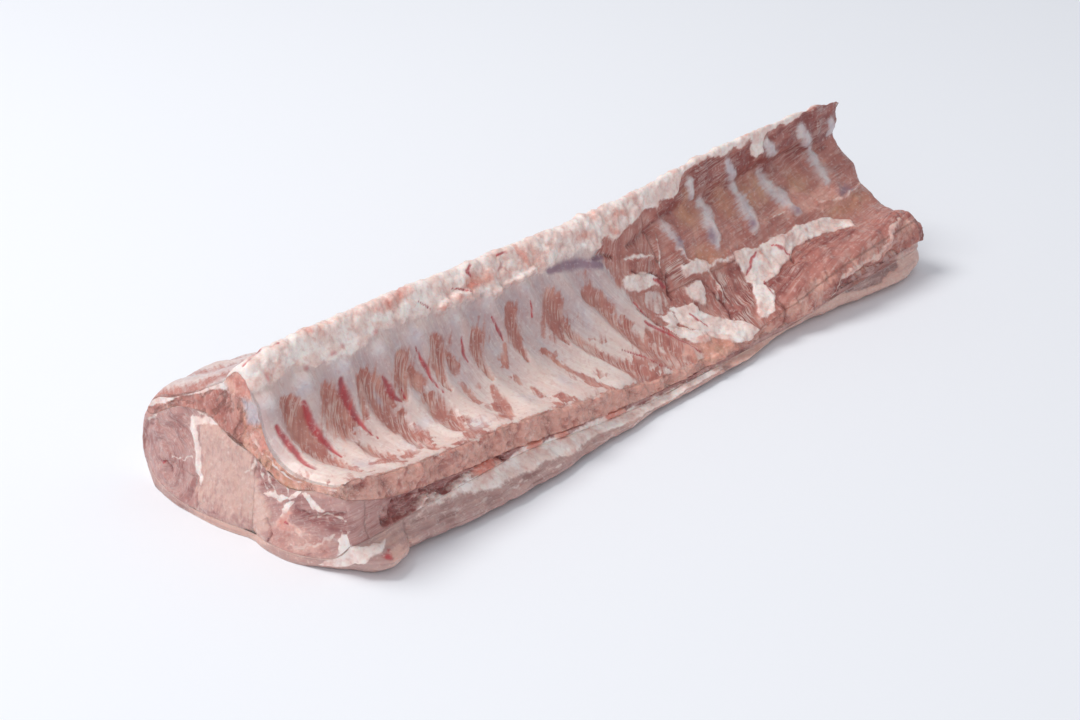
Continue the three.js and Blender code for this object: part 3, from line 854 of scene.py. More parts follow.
PALE_CURLS = [
    [(54, 27, 0.6), (44, 29, 0.7), (33, 34, 0.6)],
    [(-24, 60, 0.9), (-25, 46, 1.2), (-32, 36, 1.2)],
    [(-30, 58, 0.8), (-33, 46, 1.1), (-41, 37, 1.2)],
    [(-39, 55, 0.8), (-45, 47, 0.9), (-50, 41, 0.9)],
    [(37, 65, 1.0), (27, 64, 1.4), (18, 61, 1.0)],
    [(82, 42, 1.2), (71, 51, 1.2), (60, 58, 0.9)],
    [(-70, 34, 0.8), (-84, 36, 0.9), (-98, 34, 0.8)],
    [(-102, 41, 0.9), (-115, 45, 0.9), (-125, 43, 0.9), (-118, 33, 0.9), (-106, 29, 0.9)],
    [(-55, 9, 0.9), (-72, 16, 1.0), (-84, 25, 1.0)],
    [(-12, 40, 0.9), (-20, 48, 0.9), (-18, 58, 0.9)],
]
FACE_CREASES = [
    [(68, 26, 1.0), (66, 20, 1.6), (58, 22, 1.2), (54, 18, 1.0)],
    [(24, 22, 0.9), (24, 14, 1.1), (27, 6, 0.9)],
    [(-34, 20, 1.0), (-40, 10, 1.2), (-34, 0, 1.0)],
    [(-30, 3, 0.9), (-55, 6, 1.1), (-70, 10, 0.9)],
    [(-60, 34, 1.0), (-76, 35, 1.4), (-92, 40, 1.1)],
    [(-76, 15, 1.4), (-78, 13, 1.4)],
    [(-84, 50, 0.8), (-102, 56, 1.0)],
    [(22, 6, 0.8), (8, 8, 0.7)],
]
SIRLOIN_EYE = [
    (52, 60), (20, 58), (-8, 48), (-20, 34), (-14, 14), (20, 7), (60, 10), (76, 28), (70, 48),
]
FILLET = [(-26, 45), (-44, 41), (-62, 38), (-70, 28), (-60, 20), (-38, 22), (-26, 32)]


def from_group(y, z):
    """How far (y, z) on the blade cut lies from the heart of the darker group."""
    return np.hypot(y - GROUP_HEART[0], GROUP_SQUASH * (z - GROUP_HEART[1]))


def sirloin_face(y, z):
    """The masks of the far end cut: the eye and the fillet, with white seams round them."""
    eye, fillet = region(y, z, SIRLOIN_EYE, 5), region(y, z, FILLET, 4)
    between = 1 - np.maximum(eye, fillet)
    return {"deep": 0.25 + 0.35 * fillet, "fat": np.clip(1.15 * between, 0, 0.75)}


def blade_face(y, z):
    """The masks of the near end cut: the pale eye, the darker muscles and the seams of fat."""
    spot_of = np.stack([0 * y, y, z], -1)
    y = y + 1.5 * noise(spot_of, 9, seed=43, octaves=2) + 0.9 * noise(spot_of, 3, seed=44, octaves=2)
    z = z + 1.5 * noise(spot_of, 9, seed=45, octaves=2) + 0.9 * noise(spot_of, 3, seed=46, octaves=2)
    eye = above_half(region(y, z, EYE, 3), 0.4)
    red = above_half(region(y, z, RED_FLANK, 4), 0.4)
    pocket = above_half(region(y, z, PINK_POCKET, 4), 0.4)
    group, creases = ramp(y, 26, 32), lines_at(y, z, FACE_CREASES)
    striped = ramp(-y, 18, 26) * (1 - ramp(-y, 46, 54)) * ramp(z, 34, 40)
    outside_eye = 0.52 + 0.34 * red - 0.12 * pocket + 0.08 * group + 0.12 * striped
    outside_eye = outside_eye + 0.1 * noise(spot_of, 16, seed=47)
    in_eye = 0.06 + 0.2 * ramp(-z, -22, -4) + 0.06 * noise(spot_of, 14, seed=48)
    flap = region(y, z, WHITE_FLAP, 2.5)
    return {
        "deep": mix(outside_eye, in_eye, eye) + 0.5 * np.clip(creases, 0, 1) ** 2,
        "fat": np.maximum.reduce([lines_at(y, z, EYE_SEAMS), 0.62 * region(y, z, FAT_WEDGE, 3), flap]),
        "film": 0.72 * lines_at(y, z, PALE_CURLS),
        "peach": np.maximum(0.42 * pocket, 0.6 * region(y, z, FAT_WEDGE, 3)),
        "blood": lines_at(y, z, [[(60, 21, 0.9), (66, 20, 1.1)], [(-49, 23, 0.7), (-51, 22, 0.7)]]),
        "raised": 1.3 * eye - 1.1 * np.clip(creases, 0, 1) ** 2 + 1.6 * above_half(flap, 0.3),
    }


LEAN_NEAR = np.linspace(SEAM, EDGE_LOW, 27)
LEAN_FAR = spread(RACK_TOE, CAP_LIP, 1.6)
SLITS = [  # where the strip gapes, through (x, v, half width)
    [(-250, 0.8, 1.4), (-240, 1.0, 1.8), (-229, 1.1, 2.0), (-213, 0.6, 2.0), (-196, 0.5, 2.2),
     (-182, 0.12, 1.0)],
    [(-262, 0.4, 0.8), (-240, 0.25, 1.4), (-214, 0.02, 0.8)],
    [(-182, 1.1, 1.6), (-168, 0.95, 2.2), (-156, 0.7, 1.2)],
    [(-232, 0.6, 0.6), (-212, 0.35, 1.0), (-196, 0.12, 0.6)],
]
FAT_LUMPS = [
    (-171, 0.42, 12, 3.4), (-128, 0.6, 8, 3.6), (-134, 0.05, 5, 2.2), (-104, 0.6, 7, 3),
    (-52, 0.7, 9, 3.5),
]
lean_flat = skin(LEAN_NEAR)
lean_x, lean_s = wobbled(lean_flat, round_mm(LEAN_NEAR)[None, :], 51)
slits, lumps = stroke(lean_x, lean_s, SLITS), spot(lean_x, lean_s, FAT_LUMPS)
lean_wedge = patch(lean_x, lean_s, WHITE_WEDGE, 4)
lean_lens = patch(lean_x, lean_s, DARK_LENS, 3)
inset = ramp(LEAN_NEAR, 0, 0.12) * (1 - ramp(LEAN_NEAR, 0.88, 1))
lean_own = (
    1.3 * noise(lean_flat, 15, seed=57)
    + 0.4 * noise(lean_flat, 4, seed=58)
    + 2.2 * above_half(lumps, 0.4)
    + 0.8 * above_half(lean_wedge, 0.3)
    - 5.0 * np.clip(slits, 0, 1) ** 2
    - 1.6 * above_half(lean_lens, 0.4)
)
near_strip = skin(LEAN_NEAR, inset * lean_own)
far_strip = skin(LEAN_FAR)
on_lean, on_fat = rack_bed(), cap_bed()
lean_outline = np.concatenate([near_strip, on_lean, far_strip, on_fat[:, ::-1]], 1)


def lean_end(k, rows, columns):
    """A grid over the lean's cut at station k, blade end 0 or sirloin end -1."""
    top = np.concatenate([near_strip[k, -1:], on_lean[k], far_strip[k, :1]])
    bottom = np.concatenate([near_strip[k, :1], on_fat[k], far_strip[k, -1:]])
    return cut_grid(top, bottom, near_strip[k], far_strip[k, ::-1], rows, columns)


blade_cut, sirloin_cut = lean_end(0, 76, 210), lean_end(-1, 36, 100)
rows, columns = blade_cut.shape[:2]
from_top = np.minimum(np.arange(rows), np.arange(rows)[::-1])[:, None]
from_side = np.minimum(np.arange(columns), np.arange(columns)[::-1])[None, :]
face = blade_face(blade_cut[..., 1], blade_cut[..., 2])
swirl_at = from_group(blade_cut[..., 1], blade_cut[..., 2])
swirls = np.sin(0.42 * swirl_at + 1.8 * noise(blade_cut, 18, seed=55))
raised = (
    face["raised"]
    + 0.6 * np.clip(face["fat"], 0, 1)
    + 0.5 * swirls * ramp(blade_cut[..., 1], 26, 36)
    + 0.8 * noise(blade_cut, 9, seed=60) * (1 - ramp(face["raised"], 0.5, 1.2))
    + 0.3 * noise(blade_cut, 4, seed=59)
)
blade_cut[..., 0] -= raised * np.clip(np.minimum(from_top, from_side) / 5, 0, 1)
lean_points, lean_faces = layer(lean_outline, [blade_cut, sirloin_cut])

hidden = np.zeros(on_lean.shape[:2])
FAR_STRIP = {"fat": 0.5, "deep": 0.5, "peach": 0.3, "film": 0.4}
strip_masks = {
    "fat": np.maximum.reduce([
        lean_wedge, patch(lean_x, lean_s, FLAP_ROUND, 2),
        0.6 * above_half(lumps) * (1 + 0.5 * noise(lean_flat, 5, seed=61)),
    ]),
    "peach": 0.62 * above_half(lumps) + 0.22 * noise(lean_flat, 9, seed=67) + 0.2,
    "deep": 0.68 + 0.3 * above_half(lean_lens) + 0.5 * np.clip(slits, 0, 1) ** 2
    - 0.16 * ramp(-lean_x, 258, 280) - 0.3 * ramp(lean_x, 80, 130)
    + 0.2 * noise(lean_flat, 20, seed=65),
    "film": 0.5 * above_half(stroke(lean_x, lean_s, [PALE_RIM])) + 0.25 * noise(lean_flat, 12, seed=69),
}
uneven = 0.3 * noise(far_strip, 20, seed=63)
lean_outside = {
    mask: np.concatenate([value, hidden, FAR_STRIP[mask] + uneven], 1)
    for mask, value in strip_masks.items()
}

lean_y, lean_z = lean_points[:, 1], lean_points[:, 2]
blade, sirloin = blade_face(lean_y, lean_z), sirloin_face(lean_y, lean_z)
del blade["raised"]
lean_ends = {
    mask: np.where(lean_points[:, 0] < 0, value, sirloin.get(mask, 0)) for mask, value in blade.items()
}


def lean_grain(points):
    """How the fibres lie: swirling on the blade cut, and along the loin elsewhere."""
    x, y, z = points.T
    swirl = from_group(y, z) + 5 * noise(points, 18, seed=55)
    turn = 30 * np.arctan2(z - GROUP_HEART[1], y - GROUP_HEART[0])
    fan = np.hypot(y + 30, z - 80) + 4 * noise(points, 15, seed=71)
    group = y > 28
    across = np.where(group, swirl, np.where(y < -20, 0.8 * z + 0.4 * y + fan * 0.2, y * 1.2))
    along = np.where(group, turn, np.where(y < -20, y - 0.5 * z, z * 6))
    cut = (np.abs(x) > CUT_END - 0.5) | (x < GRAIN_OF_CUT)
    return np.stack([np.where(cut, across, 1.5 * z), np.where(cut, along, x), 0 * x], -1)


lean = make_piece(
    "lean",
    lean_points,
    lean_faces,
    whole_masks(lean_points, lean_outline.shape[1], lean_outside, lean_ends),
    {"grain": lean_grain(lean_points)},
)
lean.data.materials.append(
    flesh("lean_pork", tint(219, 180, 168), tint(192, 146, 140), tint(152, 94, 91), 1.3)
)
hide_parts("loin_muscle")
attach(lean, "root")


# The rack. Ten ribs under a thin milky skin, sawn off along the near side, with meat between
# them, and the split backbone that they spring from, ragged with torn fat. Past the last rib the
# cross spurs of the backbone lie in red meat, with bands and pads of white fat over it.
WINDOWS = [  # the meat seen through the skin between the ribs, through (x, v, half width)
    [(-266, 5.72, 5.2), (-265, 5.04, 8.3), (-266, 4.36, 7.8), (-265, 3.66, 4.4), (-264, 3.06, 1.3)],
    [(-237, 5.54, 5.9), (-238, 5.12, 11.2), (-240, 4.64, 10.7)],
    [(-238, 4.0, 2.6), (-236, 3.75, 5.7), (-237, 3.46, 6.8), (-237, 3.1, 2.1)],
    [(-213, 5.66, 2.1), (-215, 5.2, 3.1), (-219, 4.68, 2.1)],
    [(-207, 5.64, 3.1), (-205, 5.22, 7.0), (-204, 4.72, 9.6), (-206, 4.12, 7.0)],
    [(-194, 4.42, 2.1), (-200, 3.92, 5.2), (-208, 3.5, 4.2), (-212, 3.1, 2.0)],
    [(-200, 3.44, 2.1), (-208, 2.64, 2.6)],
    [(-177, 5.64, 3.9), (-181, 5.3, 6.8), (-187, 4.74, 2.9)],
    [(-171, 5.32, 1.8), (-170, 4.94, 4.7), (-169, 4.76, 2.9)],
    [(-169, 4.66, 2.1), (-167, 4.28, 7.0), (-172, 3.78, 7.8), (-178, 3.42, 3.1)],
    [(-162, 3.92, 2.9), (-175, 3.32, 4.7)],
    [(-147, 5.66, 4.7), (-151, 5.26, 6.0), (-153, 4.8, 3.1), (-153, 4.42, 1.0)],
    [(-139, 5.24, 1.8), (-139, 4.88, 3.6)],
    [(-113, 5.44, 3.9), (-118, 5.16, 6.0), (-119, 4.78, 4.2), (-119, 4.26, 1.0)],
    [(-80, 5.64, 3.9), (-84, 5.38, 4.9), (-84, 4.96, 5.2), (-85, 4.34, 1.0)],
    [(-42, 5.44, 7.0), (-48, 5.06, 8.8), (-48, 4.72, 5.2), (-47, 4.34, 1.0)],
    [(-40, 4.8, 2.9), (-38, 4.38, 5.7), (-33, 3.92, 6.0), (-28, 3.64, 3.9), (-20, 3.18, 6.8),
     (-15, 2.5, 6.0), (-7, 1.9, 2.0)],
    [(-12, 5.26, 3.9), (-3, 5.0, 4.9), (2, 4.38, 6.8), (7, 3.84, 7.8), (11, 3.28, 8.8),
     (18, 2.52, 4.4)],
    [(22, 3.9, 2.1), (27, 3.4, 5.7), (31, 2.58, 6.2)],
]
THIN_SKIN = [  # where the skin is thin and the meat half shows
    [(-67, 4.4, 2.6), (-63, 3.88, 3.2), (-58, 3.5, 2.6), (-54, 3.0, 3.4), (-47, 1.86, 1.6)],
    [(-97, 3.62, 2.2), (-99, 3.28, 2.6)],
    [(-123, 4.08, 2.2), (-128, 3.6, 3.6), (-136, 2.98, 4.2)],
    [(-98, 2.76, 2.2), (-98, 2.18, 2.2)],
    [(-94, 4.98, 1.2), (-101, 4.46, 2.2)],
    [(-141, 4.48, 2.2), (-142, 3.9, 2.8)],
    [(-101, 4.14, 2.6), (-102, 3.88, 2.2)],
    [(-252, 3.2, 1.6), (-236, 2.6, 2.4)],
    [(-172, 2.8, 2.6), (-180, 2.4, 2.2)],
]
BLOOD_LINES = [
    [(-281, 5.34, 1.3), (-279, 4.9, 2.4), (-279, 4.5, 2.2), (-280, 4.12, 1.4), (-280, 3.6, 0.6)],
    [(-257, 5.66, 1.4), (-256, 5.3, 2.6), (-256, 4.78, 2.4), (-257, 4.22, 1.5), (-257, 3.84, 0.6)],
    [(-225, 5.8, 1.4), (-226, 5.48, 3.1), (-225, 5.08, 2.4), (-225, 4.7, 1.6), (-225, 4.38, 0.9),
     (-223, 4.0, 0.3)],
    [(-194, 5.45, 0.9), (-193, 5.16, 2.4), (-193, 4.92, 1.8), (-190, 4.7, 0.8)],
    [(-184, 5.04, 0.5), (-186, 4.74, 0.8)],
    [(-163, 5.8, 0.5), (-161, 5.5, 1.0), (-160, 5.26, 1.6), (-160, 4.96, 0.9), (-157, 4.38, 0.3)],
    [(-126, 5.6, 0.5), (-128, 5.22, 1.1), (-128, 4.9, 0.5)],
    [(-96, 5.72, 0.6), (-95, 5.38, 1.0), (-94, 5.08, 0.5)],
    [(-61, 5.68, 0.5), (-63, 5.32, 0.7)],
    [(-10, 3.66, 0.5), (-2, 3.26, 0.7), (7, 2.6, 0.5), (15, 2.22, 0.3)],
    [(25, 4.68, 1.1), (29, 4.3, 0.7), (34, 3.8, 0.7), (41, 3.48, 0.4)],
    [(23, 4.14, 0.9), (31, 3.74, 1.5), (38, 3.34, 1.2), (47, 2.46, 0.8)],
    [(151, 4.5, 0.8), (141, 4.32, 1.2), (134, 4.12, 0.7)],
    [(167, 4.44, 0.7), (172, 4.2, 1.3), (175, 3.9, 0.6)],
    [(64, 3.84, 0.8), (66, 3.56, 1.4), (68, 3.3, 0.7)],
    [(139, 3.66, 0.8), (137, 3.3, 0.6), (133, 2.7, 0.7)],
    [(52, 4.9, 1.2), (58, 4.8, 2.0), (60, 4.7, 1.4)],
    [(-101, 7.35, 1.0), (-104, 7.6, 1.2), (-98, 7.8, 0.6)],
    [(-150, 7.3, 0.3), (-146, 7.0, 0.5), (-142, 6.7, 0.3)],
    [(-74, 7.8, 0.6), (-66, 7.7, 0.7)],
    [(-120, 7.2, 0.5), (-112, 6.9, 0.7), (-108, 6.7, 0.4)],
    [(-284, 8.0, 1.0), (-270, 8.15, 0.8), (-256, 8.0, 0.5)],
]
PINK_SPOTS = [
    (-216, 6.82, 2, 2.6), (-246, 6.58, 2.6, 2.2), (-188, 6.8, 3, 2), (-225, 6.7, 4, 2),
    (-275, 6.9, 2, 4),
]
KNUCKLES = [  # the pale heads of the ribs
    (-281, 5.95, 5.5, 5), (-253, 6.05, 6, 6), (-222, 6.1, 6.2, 6.5), (-191, 6.12, 5, 5.5),
    (-161, 6.05, 5.5, 6.5), (-126, 6.1, 5, 5.5), (-96, 6.15, 4, 5), (-63, 6.15, 3.6, 4),
]
MILKY = [  # where the skin is thickest
    (-177, 4.72, 5, 6), (-142, 4.7, 6, 8), (-101, 4.9, 5, 5), (-159, 3.14, 9, 6), (-186, 3.9, 9, 6),
    (-202, 5.0, 2.5, 8), (-215, 3.4, 8, 7), (-255, 3.3, 6, 8), (-110, 3.3, 9, 8), (-75, 3.4, 8, 9),
    (-20, 4.9, 5, 10), (20, 4.9, 8, 6),
]
STAINS = [  # yellowish gristle and cartilage
    (-177, 6.04, 5, 4), (-72, 4.66, 2.4, 3), (-118, 4.16, 2.4, 4), (107, 4.92, 14, 7),
    (110, 6.12, 8, 9), (149, 5.94, 8, 9), (176, 5.8, 8, 9), (191, 5.86, 7, 8), (230, 5.6, 9, 8),
    (258, 4.45, 20, 8), (-80, 3.9, 14, 8), (60, 2.0, 16, 9),
]
VEIN = [
    [(-37, 6.3, 2.0), (-22, 6.25, 3.4), (-5, 6.05, 3.8), (9, 5.8, 2.6)],
    [(3, 6.02, 1.6), (14, 5.98, 1.8)],
]
BRUISES = [(87, 5.6, 4, 5), (119, 5.35, 3.6, 5), (161, 5.16, 4, 4), (206, 5.0, 4, 3), (262, 4.9, 10, 4)]
# The loin end past the last rib, through (x, v).
WHITE_BAND = [
    (133, 4.74), (158, 4.6), (185, 4.6), (219, 4.48), (236, 4.3), (246, 3.95), (240, 3.3),
    (232, 3.7), (206, 4.06), (186, 4.16), (175, 3.84), (161, 3.66), (146, 3.66), (137, 3.6),
    (139, 3.2), (134, 2.8), (122, 2.36), (112, 2.4), (117, 3.12), (127, 3.66), (132, 4.12),
    (128, 4.5),
]
PADS = [
    [(33, 3.96), (46, 3.86), (58, 3.4), (64, 2.9), (58, 2.74), (46, 3.1), (36, 3.6)],
    [(76, 4.98), (92, 5.02), (104, 4.84), (106, 4.6), (92, 4.62), (78, 4.72)],
    [(184, 7.36), (190, 7.44), (199, 7.3), (200, 6.96), (192, 6.84), (185, 7.02)],
    [(76, 4.56), (90, 4.46), (89, 4.16), (82, 3.96), (73, 4.18), (71, 4.4)],
    [(53, 4.2), (71, 4.1), (81, 3.62), (97, 2.94), (103, 1.95), (93, 1.5), (72, 2.34), (60, 3.22),
     (54, 3.82)],
    [(24, 5.34), (48, 5.26), (58, 4.92), (56, 4.74), (36, 4.84), (20, 5.0)],
    [(40, 4.2), (52, 4.1), (54, 3.8), (46, 3.7)],
]
STRANDS = [
    [(83, 5.42, 1.2), (91, 4.96, 2.0), (102, 4.52, 1.8), (103, 4.1, 1.6), (99, 3.76, 0.9)],
    [(32, 5.75, 1.5), (42, 5.7, 2.6), (58, 5.45, 1.6)],
    [(70, 6.1, 1.0), (66, 5.6, 1.6), (62, 5.1, 1.2)],
    [(104, 4.62, 1.6), (114, 4.72, 2.6), (128, 4.66, 3.2)],
    [(176, 5.06, 0.9), (188, 5.08, 1.2), (202, 4.98, 0.9)],
    [(232, 4.85, 1.2), (258, 4.7, 1.6), (280, 4.9, 1.2)],
]
LUMBAR_RED = [(188, 5.1), (218, 5.52), (256, 5.18), (272, 4.42), (248, 4.44), (209, 4.78)]
END_LUMP = [
    (262, 2.9), (273, 3.02), (286, 2.72), (296, 1.8), (292, 0.5), (280, -0.44), (260, -0.1),
    (256, 1.5), (268, 2.1),
]
RED_MEAT = [
    [(184, 4.1), (211, 3.95), (228, 3.5), (235, 3.1), (190, 3.2), (176, 3.38), (175, 3.84)],
    [(139, 3.62), (153, 3.64), (172, 3.3), (176, 2.94), (151, 2.6), (137, 2.7), (137, 3.22)],
]
STRIATED = [
    [(110, 4.5), (130, 4.42), (128, 3.76), (119, 3.3), (104, 2.24), (97, 2.9), (89, 3.32), (97, 4.0)],
    [(73, 5.32), (84, 5.2), (88, 4.66), (81, 4.58), (68, 4.78), (65, 5.06)],
    [(88, 4.5), (93, 4.4), (94, 3.9), (90, 3.4), (86, 3.6)],
]
GREY_FILM = [(39, 4.74), (56, 4.6), (56, 4.3), (42, 4.18), (34, 4.5)]
CUT_RIB = [(30, 2.9), (48, 3.3), (62, 3.1), (76, 2.3), (80, 1.3), (58, 1.3), (40, 2.2)]
LUMP = [
    (138, 2.5), (156, 2.7), (185, 2.5), (239, 2.6), (288, 3.18), (300, 1.6), (283, 1.12),
    (255, 1.55), (236, 1.25), (212, 1.5), (190, 0.7), (160, 0.3), (146, 0.6),
]
ROUND_END = [(115, 2.5), (129, 2.58), (131, 1.96), (126, 1.2), (114, 1.3)]
CREVICES = [  # the gaps between the torn pieces
    [(4, 6.1, 1.8), (16, 6.1, 2.6), (24, 5.9, 1.4)],
    [(40, 6.0, 1.6), (56, 6.2, 3.0), (66, 6.3, 2.6), (78, 6.4, 1.6)],
    [(66, 5.0, 0.9), (62, 4.6, 1.4), (60, 4.4, 0.8)],
    [(93, 4.45, 0.8), (99, 3.7, 1.4), (94, 3.1, 0.8)],
    [(176, 3.9, 0.8), (173, 3.5, 1.0), (176, 3.2, 0.8)],
    [(131, 2.6, 1.0), (134, 1.9, 1.5), (131, 1.2, 1.0)],
    [(24, 4.5, 0.6), (34, 4.0, 1.0), (50, 3.6, 0.6)],
    [(36, 5.35, 0.8), (54, 5.1, 1.0), (62, 4.85, 0.6)],
]
SPURS = [  # the cross spurs, under their white gristle
    [(80, 6.28, 4.0), (83, 5.8, 5.0), (87, 5.3, 3.0)],
    [(126, 6.24, 4.6), (123, 5.7, 5.6), (120, 5.1, 3.2)],
    [(167, 6.3, 4.6), (165, 5.6, 6.0), (162, 5.02, 3.2)],
    [(199, 6.06, 5.0), (202, 5.5, 6.0), (206, 4.98, 3.0)],
    [(259, 6.26, 4.6), (256, 5.76, 6.0), (252, 5.3, 3.4)],
]
DISCS = [  # the discs of gristle in the split backbone
    [(56, 7.32, 2.4), (52, 6.84, 2.8)],
    [(118, 7.04, 2.8), (116, 6.6, 3.2)],
    [(160, 7.18, 3.2), (163, 6.68, 4.4)],
    [(204, 7.2, 3.2), (212, 6.62, 4.2)],
    [(245, 7.1, 3.4), (253, 6.56, 4.2)],
    [(276, 7.0, 2.6), (281, 6.6, 2.8)],
]
# The groove under the row of discs: sunk into the skin, and darkened as its painted shadow.
SHADOWED_GROOVE = [
    [(85, 6.44, 2.4), (124, 6.32, 3.0), (172, 6.42, 3.2), (208, 6.34, 3.0), (244, 6.4, 2.4),
     (275, 6.2, 1.6)],
]
FAT_BORDER = [  # the lower edge of the fat along the ridge, through (x, v)
    (-290, 6.6), (-277, 6.58), (-252, 6.7), (-233, 6.42), (-211, 6.46), (-181, 6.7), (-152, 6.74),
    (-131, 6.56), (-107, 6.5), (-84, 6.36), (-56, 6.42), (-33, 6.5), (10, 6.42), (38, 6.66),
    (72, 6.84), (100, 6.84), (112, 7.5), (136, 7.7), (154, 7.56), (170, 7.5), (184, 7.6),
    (193, 7.2), (204, 7.5), (232, 7.6), (246, 7.8), (264, 8.0), (290, 8.2),
]
PEACH_FAT = [  # where the fat of the ridge is torn, and peach coloured
    (-92, 7.0, 30, 7), (-170, 7.6, 20, 6), (-264, 7.3, 9, 7), (-36, 7.05, 30, 9), (40, 7.3, 40, 8),
    (-226, 7.9, 14, 3),
]
TORN_LIP = [
    [(-136, 6.62, 2.0), (-122, 6.74, 3.2), (-103, 6.5, 3.6), (-92, 6.3, 2.2), (-76, 6.44, 2.2),
     (-50, 6.56, 1.8)],
]
SAWN_RIBS = [(x, 1.5, half, 9) for x, half in (
    (-284, 8), (-258, 6), (-212, 9), (-168, 8), (-148, 6), (-113, 8), (-72, 8), (-32, 8), (6, 7),
    (40, 6),
)]
FEATHER_PITCH = 29  # between the feather bones on the far side
PAST_RIBS = 62  # the x from which the fibres run along the loin

rack_round = [spread(EDGE_LOW, RIDGE_TOP, 1.15), spread(RIDGE_TOP, RACK_TOE, 2.4)]
rack_round = np.unique(np.concatenate(rack_round))
rack_flat = skin(rack_round)
rack_v = rack_round[None, :]
among_ribs = 1 - ramp(places, 10, 50)[:, None]
rack_x, rack_s = wobbled(rack_flat, round_mm(rack_round)[None, :], 71, 1 - 0.65 * among_ribs)
lie_v = np.interp(rack_s, path_length, path_v)


def on_rack(draw, *drawn):
    """A mask that draw makes over the rack's outside."""
    return draw(rack_x, rack_s, *drawn)


def patches(outlines, soft):
    """One mask for several patches."""
    return np.maximum.reduce([on_rack(patch, outline, soft) for outline in outlines])


windows, thin_skin, blood_lines, spurs = (
    on_rack(stroke, rows) for rows in (WINDOWS, THIN_SKIN, BLOOD_LINES, SPURS)
)
discs, shadowed_groove, strands, crevices, torn_lip, pale_rim = (
    on_rack(stroke, rows) for rows in (DISCS, SHADOWED_GROOVE, STRANDS, CREVICES, TORN_LIP, [PALE_RIM])
)
knuckles, milky, sawn, peach_fat = (
    on_rack(spot, rows) for rows in (KNUCKLES, MILKY, SAWN_RIBS, PEACH_FAT)
)
white_band, pads = on_rack(patch, WHITE_BAND, 2.5), patches(PADS, 2.5)
red_meat, striated = patches(RED_MEAT, 4), patches(STRIATED, 3)
lump, lumbar_red = on_rack(patch, LUMP, 5), on_rack(patch, LUMBAR_RED, 6)
round_end, cut_rib = on_rack(patch, ROUND_END, 4), on_rack(patch, CUT_RIB, 4)
grey_film, rack_lens, end_lump = (
    on_rack(patch, outline, 3) for outline in (GREY_FILM, DARK_LENS, END_LUMP)
)

lumps_wide = clumps(rack_flat + 2 * noise(rack_flat, 7, seed=83)[..., None], 9, seed=81)
lumps_fine = clumps(rack_flat, 4, seed=82)
broad, mid, fine = (noise(rack_flat, size, seed=85 + size) for size in (24, 11, 5))
border_s = round_mm(follow(FAT_BORDER, places))[:, None]
border_s = border_s - (3.0 * mid + 1.2 * fine) * (0.3 + 0.7 * among_ribs)
ridge_fat = np.clip(0.5 + (rack_s - border_s) / mix(5, 11, among_ribs), 0, 1)
ridge_fat = ridge_fat * (1 - ramp(rack_v, 8.5, 9.3))
far_back = ramp(rack_v, 8.4, 9.0)
loin_end = ramp(rack_x + 9 * (lie_v - 4), 20, 44)
sawn_edge = (1 - ramp(rack_x, 40, 80)) * (1 - ramp(lie_v, 1.86, 2.04))
edge_strip = 1 - ramp(lie_v + 0.16 * mid - 0.2 * (lumps_fine - 0.4), 1.86, 2.0)
hollow = (1 - edge_strip) * (1 - loin_end) * (1 - far_back)
loin_hollow = loin_end * (1 - far_back)
feathers = far_back * (1 - ramp(rack_v, 10.6, 11.1))
feather = 0.5 + 0.5 * np.cos(2 * np.pi * (rack_x + 11 * (rack_v - RIDGE_OUT)) / FEATHER_PITCH)
torn = above_half(ridge_fat, 0.3) * (0.5 + 0.8 * np.clip(peach_fat, 0, 1)) * (0.45 + 0.55 * among_ribs)
low_film = 1 - ramp(lie_v, 2.6, 4.2)
speckle = ramp(fine + 0.7 * mid, 0.1, 0.45)
off_crest = rib_crest(rack_flat[..., 0], rack_v) / RIB_HALF_WIDTH
valley = among_ribs * (1 - np.exp(-(off_crest**2)))

fat_pieces = np.maximum.reduce([white_band, pads, strands * (rack_x > 28)])
rack_own = (
    hollow * (
        -1.9 * above_half(windows, 0.3) - 0.9 * np.clip(blood_lines, 0, 1) ** 2
        + 1.3 * above_half(knuckles, 0.4) + 0.25 * mid
    )
    + (0.5 + among_ribs) * above_half(ridge_fat, 0.3)
    + torn * (2.8 * (lumps_wide - 0.45) + 1.6 * (lumps_fine - 0.4) + 0.7 * fine)
    + 3.0 * above_half(torn_lip, 0.3) * (0.8 + 0.6 * fine)
    + loin_hollow * (
        2.2 * above_half(fat_pieces, 0.3) * (0.9 + 0.35 * mid)
        + 1.0 * above_half(spurs, 0.4) + 1.1 * above_half(discs, 0.3) + 0.6 * above_half(striated, 0.4)
        + 1.2 * above_half(red_meat, 0.4) + 1.2 * mid + 0.7 * fine - 2.0 * np.clip(shadowed_groove, 0, 1) ** 2
    )
    + 3.0 * above_half(lump, 0.4) - 2.6 * above_half(rack_lens, 0.4) + 1.6 * above_half(round_end, 0.4)
    + 1.4 * above_half(pale_rim, 0.3)
    + above_half(end_lump, 0.4) * (1.2 * (lumps_fine - 0.2) + 0.8 * fine)
    - 3.2 * np.clip(crevices, 0, 1) ** 2
    + edge_strip * (1.6 * mid + 0.8 * fine)
    + sawn_edge * (0.6 * fine + 2.6 * (lumps_fine - 0.4) + 1.4 - 3.0 * above_half(sawn, 0.4))
    + feathers * (1.6 * feather + 0.5 * mid)
)
own_border = ramp(rack_v, EDGE_LOW, EDGE_LOW + 0.1) * (1 - ramp(rack_v, RACK_TOE - 0.15, RACK_TOE))
rack_skin = skin(rack_round, rack_own * own_border)
under_rack = rack_bed()
rack_outline = np.concatenate([rack_skin, under_rack[:, ::-1]], 1)
rack_grids = [band_grid(rack_skin[k, 1:-1], under_rack[k], 20) for k in (0, -1)]
for grid, outward in zip(rack_grids, (-1, 1)):
    grid[..., 0] += outward * (0.9 * noise(grid, 7, seed=101) + 0.7 * noise(grid, 3, seed=102))
rack_points, rack_faces = layer(rack_outline, rack_grids)

